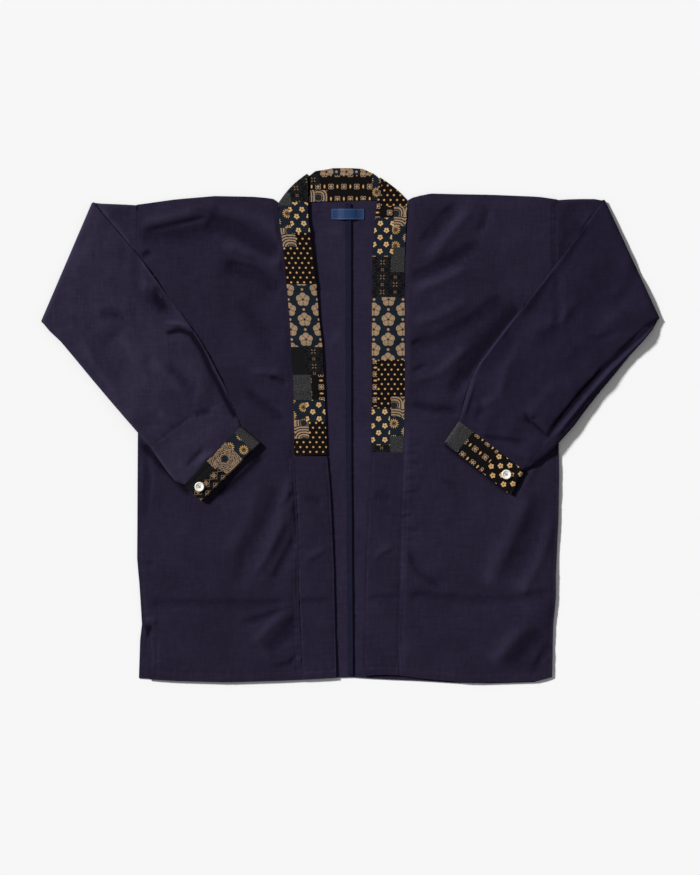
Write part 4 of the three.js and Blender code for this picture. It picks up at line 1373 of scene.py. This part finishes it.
# %% [markdown]
# ## The cuffs
# Each cuff is a short doubled band, wrapped round the sleeve's end and buttoned. It lies flat here,
# so its two layers show as one band with a rounded fold at either end. The long way of the cuff is
# found from its own points, starting at the button.

# %% Piece the cuffs
CUFF_SEAM = 10.6
CUFF_PATCHES = {
    "left": [
        ("ash_shade", -10, 51, -40, -1), ("lattice", -10, 58, -1, 40),
        ("medallion", 51, 92, -40, 40), ("chrysanthemum", 92, 112, -40, 40),
        ("ash", 112, 150, -40, 40),
    ],
    "right": [
        ("crosses", -10, 6, -40, 40), ("night_blossom", 6, 60, -40, 40),
        ("diamonds", 60, 109, -40, 40), ("ash", 109, 150, -40, 40),
    ],
}


def long_way(node, button):
    """From a cuff's points: its centre, its long way from the button's end, the way across it
    towards the hand, and where it begins."""
    plan = spots_of(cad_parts[node].data)[:, :2]
    centre = plan.mean(0)
    ways = np.linalg.eigh(np.cov((plan - centre).T))[1]
    along = ways[:, 1]
    low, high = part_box(button)
    spot = np.array(((low.x + high.x) / 2, (low.y + high.y) / 2)) / MM
    if (spot - centre) @ along > 0:
        along = -along
    across = np.array((along[1], -along[0]))
    if across[1] > 0:
        across = -across
    return centre, along, across, ((plan - centre) @ along).min()


for side in SIDES:
    node = "cuff_" + side
    centre, along, across, first = long_way(node, "button_" + side)

    def place(co, centre=centre, along=along, across=across, first=first):
        off = np.array((co.x / MM, co.y / MM)) - centre
        return float(off @ across), float(off @ along) - first

    cut = soft_copy(node, 2.4 * MM, 10)
    cut_across(cut, CUFF_PATCHES[side], place)
    cuff = piece_of(cut, "cloth_cuff_" + side, prints["crosses"], [node])
    edges = [[tuple(centre + along * (first + t) + across * w) for t in (4, 40, 80)]
             for w in (-CUFF_SEAM, CUFF_SEAM)]
    press(cuff, [], edges, lowest=4.2, ripples=((22, 0.35), (8, 0.14)),
          seed=61 + SEED_STEP[side])
    pieced(cuff, CUFF_PATCHES[side], place, "crosses")
    "cloth_front_" + side

# %% [markdown]
# ## The buttons
# Shirt buttons are turned from shell, then drilled: a low dish inside a raised rim, with four holes
# and a cross of thread. Shell is cloudy white, with faint warm and green tints under a clear shine.

# %% Section and shell of a button
BUTTON_SECTION = [(0.0, 1.35), (3.9, 1.45), (4.7, 1.75), (5.7, 2.35), (6.5, 2.5), (7.1, 2.2),
                  (7.45, 1.6), (7.2, 0.8), (5.4, 0.1), (0.0, 0.25)]
BUTTON_TURNS = 48
DISH = 1.45
HOLE_APART = 1.0
HOLE_WIDE = 0.5
ROD_LONG = 8.0
THREAD_RIBS = 2600.0


def shell_material():
    """Nacre: cloudy white with faint warm and green tints, glossy under a thin coat."""
    shell, tree, shader = new_material("button_shell")
    place = turned_place(tree, 0.4, (1, 2.2, 1))
    layers = noise_amount(tree, place, 210, 4.0)
    tint = noise_amount(tree, place, 120, 2.0)
    warm = (layers - 0.35).sum("MULTIPLY", 2.2, clamp=True)
    pale = stained(tree, dye("#f4efe6"), dye("#d9d3c4"), warm)
    green = (tint - 0.5).sum("MULTIPLY", 1.6, clamp=True)
    tree.links.new(stained(tree, pale, dye("#c9dccf"), green), shader.inputs["Base Color"])
    tree.links.new((layers * 0.2 + 0.16).socket, shader.inputs["Roughness"])
    set_inputs(shader, Coat_Weight=0.5, Coat_Roughness=0.12)
    tree.links.new(bump_of(tree, layers, 0.12, 0.0002), shader.inputs["Normal"])
    return shell


shell = shell_material()
thread_navy = twill("thread_navy", "#1e1b2c", "#45405c", 0.0, THREAD_RIBS)


print("shell and thread ready")

# %% [markdown]
# ## Turning and drilling
# A button is turned by spinning half a section about its middle, as on a lathe. Four thin rods are
# then taken away from the disc, which leaves the holes.


# %% Turn and drill the buttons
def four_round(middle):
    """The places of the four holes round the middle of a button."""
    angles = [math.radians(45 + 90 * turn) for turn in range(4)]
    return [middle + Vector((math.cos(a), math.sin(a), 0)) * HOLE_APART * math.sqrt(2) * MM
            for a in angles]


def drilled(disc, middle):
    """Bores four holes through a button."""
    rods = bmesh.new()
    for spot in four_round(middle):
        bmesh.ops.create_cone(rods, cap_ends=True, segments=16, radius1=HOLE_WIDE * MM,
                              radius2=HOLE_WIDE * MM, depth=ROD_LONG * MM,
                              matrix=Matrix.Translation(spot))
    rod = placed("rods", mesh_of(rods, "rods"))
    bore = disc.modifiers.new("bore", "BOOLEAN")
    bore.object = rod
    bore.solver = "EXACT"
    shown = disc.evaluated_get(bpy.context.evaluated_depsgraph_get())
    bored = bpy.data.meshes.new_from_object(shown)
    disc.modifiers.clear()
    disc.data = bored
    bpy.data.objects.remove(rod)


def button_at(side):
    low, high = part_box("button_" + side)
    middle = Vector(((low.x + high.x) / 2, (low.y + high.y) / 2, low.z))
    turn = bmesh.new()
    outline = [turn.verts.new(middle + Vector((r * MM, 0, z * MM))) for r, z in BUTTON_SECTION]
    edges = [turn.edges.new(pair) for pair in zip(outline, outline[1:])]
    bmesh.ops.spin(turn, geom=[*outline, *edges], cent=middle, axis=(0, 0, 1), angle=math.tau,
                   steps=BUTTON_TURNS, use_merge=True)
    bmesh.ops.remove_doubles(turn, verts=turn.verts, dist=2 * MERGED)
    bmesh.ops.recalc_face_normals(turn, faces=turn.faces)
    disc = piece_of(turn, "shell_button_" + side, shell, ["button_" + side])
    drilled(disc, middle)
    disc.data.shade_smooth()
    return disc, middle


buttons = {side: button_at(side) for side in SIDES}

# %% [markdown]
# ## Thread in the buttons
# Two crossed loops of thread hold each button. Every strand is a short rod, bent down at both ends
# into its holes.

# %% Sew on the buttons
STRAND = 0.24
IN_HOLE = 1.1
OVERLAP = 0.3
SHOULDER = 0.6


def strand(cut, start, end, lift):
    """A bent strand of thread from one hole to another, over the button's dish."""
    path = [start - UP * (IN_HOLE * MM), start + UP * (lift * SHOULDER),
            (start + end) / 2 + UP * lift, end + UP * (lift * SHOULDER),
            end - UP * (IN_HOLE * MM)]
    for a, b in zip(path, path[1:]):
        way = b - a
        pose = Matrix.Translation((a + b) / 2) @ way.to_track_quat("Z", "Y").to_matrix().to_4x4()
        bmesh.ops.create_cone(cut, cap_ends=True, segments=8, radius1=STRAND * MM,
                              radius2=STRAND * MM, depth=way.length + OVERLAP * MM, matrix=pose)


for side, (disc, middle) in buttons.items():
    cut = bmesh.new()
    holes = four_round(middle + Vector((0, 0, DISH * MM)))
    strand(cut, holes[0], holes[2], 0.5 * MM)
    strand(cut, holes[1], holes[3], 0.9 * MM)
    piece_of(cut, "button_thread_" + side, thread_navy)

# %% [markdown]
# ## The label
# A small woven label is sewn in at the back of the neck. It is left plain: blue satin with a
# slightly raised border, arched a little because its ends are sewn closer together than it is long.

# %% Sew in the label
BORDER = 1.3
BORDER_WIDE = 0.45
BORDER_SHARE = 0.22


def label_material():
    ribbon, tree, shader = new_material("woven_label")
    threads = noise_amount(tree, turned_place(tree, 0, (0.1, 1, 1)), 1500, 1.0)
    cloud = noise_amount(tree, turned_place(tree, 0, (1, 1, 1)), 160, 2.0)
    light = (threads * 0.7 + cloud * 0.5).sum("SUBTRACT", 0.3)
    blue = stained(tree, dye("#0b2347"), dye("#173f70"), light)
    bordered = stained(tree, blue, dye("#5f7fa6"), tone_shift_of(tree) * BORDER_SHARE)
    tree.links.new(bordered, shader.inputs["Base Color"])
    set_inputs(shader, Roughness=0.6, Specular_IOR_Level=0.3, Sheen_Weight=0.1)
    tree.links.new(bump_of(tree, threads, 0.4, 0.0004), shader.inputs["Normal"])
    return ribbon


cut = soft_copy("label", 0.9 * MM, 12)
label = piece_of(cut, "woven_label", label_material(), ["label"])
low, high = (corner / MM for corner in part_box("label"))
left, right, bottom, top = low.x + BORDER, high.x - BORDER, low.y + BORDER, high.y - BORDER
border = [(left, bottom), (right, bottom), (right, top), (left, top), (left, bottom)]
far = beside(spots_of(label.data)[:, :2], border)[0]
keep_tone_shift(label.data, np.exp(-(far / BORDER_WIDE) ** 4))

# %% [markdown]
# ## Topstitching
# The seams and hems are topstitched: short even stitches of navy thread, sunk in their grooves.
# One stitch is a small ball drawn out along the seam. It is repeated along every seam line, at the
# height where a ray from above meets the finished cloth.


# %% Sew the seams
STITCH_STEP = 3.1
STITCH_LONG = 2.3
STITCH_THICK = 0.42
STITCH_FLAT = 0.8
STITCH_RISE = 0.12
ONWARD = 0.5
OVERHEAD = 0.05


def stitch_row(line, tree):
    """Stitches along a line (mm), on the cloth that the tree holds."""
    row = bmesh.new()
    ends = np.array(line, float)
    steps = np.hypot(*np.diff(ends, axis=0).T)
    total = steps.sum()
    reach = np.concatenate(([0], np.cumsum(steps)))
    for at in np.arange(STITCH_STEP / 2, total, STITCH_STEP):
        x, y = (np.interp(at, reach, ends[:, i]) for i in (0, 1))
        x2, y2 = (np.interp(at + ONWARD, reach, ends[:, i]) for i in (0, 1))
        hit = tree.ray_cast(Vector((x * MM, y * MM, OVERHEAD)), DOWN)[0]
        if hit is None:
            continue
        spin = Matrix.Rotation(math.atan2(y2 - y, x2 - x), 4, "Z")
        size = Matrix.Diagonal((STITCH_LONG * MM, STITCH_THICK * MM,
                                STITCH_THICK * STITCH_FLAT * MM, 1))
        place = Matrix.Translation(hit + Vector((0, 0, STITCH_RISE * MM)))
        bmesh.ops.create_uvsphere(row, u_segments=6, v_segments=4, radius=0.5,
                                  matrix=place @ spin @ size)
    return row


sewn = {"cloth_" + name: lines for name, lines in seams.items()}
sewn["cloth_centre_back"] = strip_lines
for name, lines in sewn.items():
    tree = tree_of(bpy.data.objects[name].data)
    rows = bmesh.new()
    for line in lines:
        made = mesh_of(stitch_row(line, tree), "row")
        rows.from_mesh(made)
        bpy.data.meshes.remove(made)
    piece_of(rows, name.replace("cloth", "stitches"), thread_navy)

# %% Measure and finish
CAD_AND_VISUAL = {"cad": cad_box, "visual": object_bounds()}
for name, (low, high) in CAD_AND_VISUAL.items():
    print(name, [round((h - l) / MM, 1) for l, h in zip(low, high)])
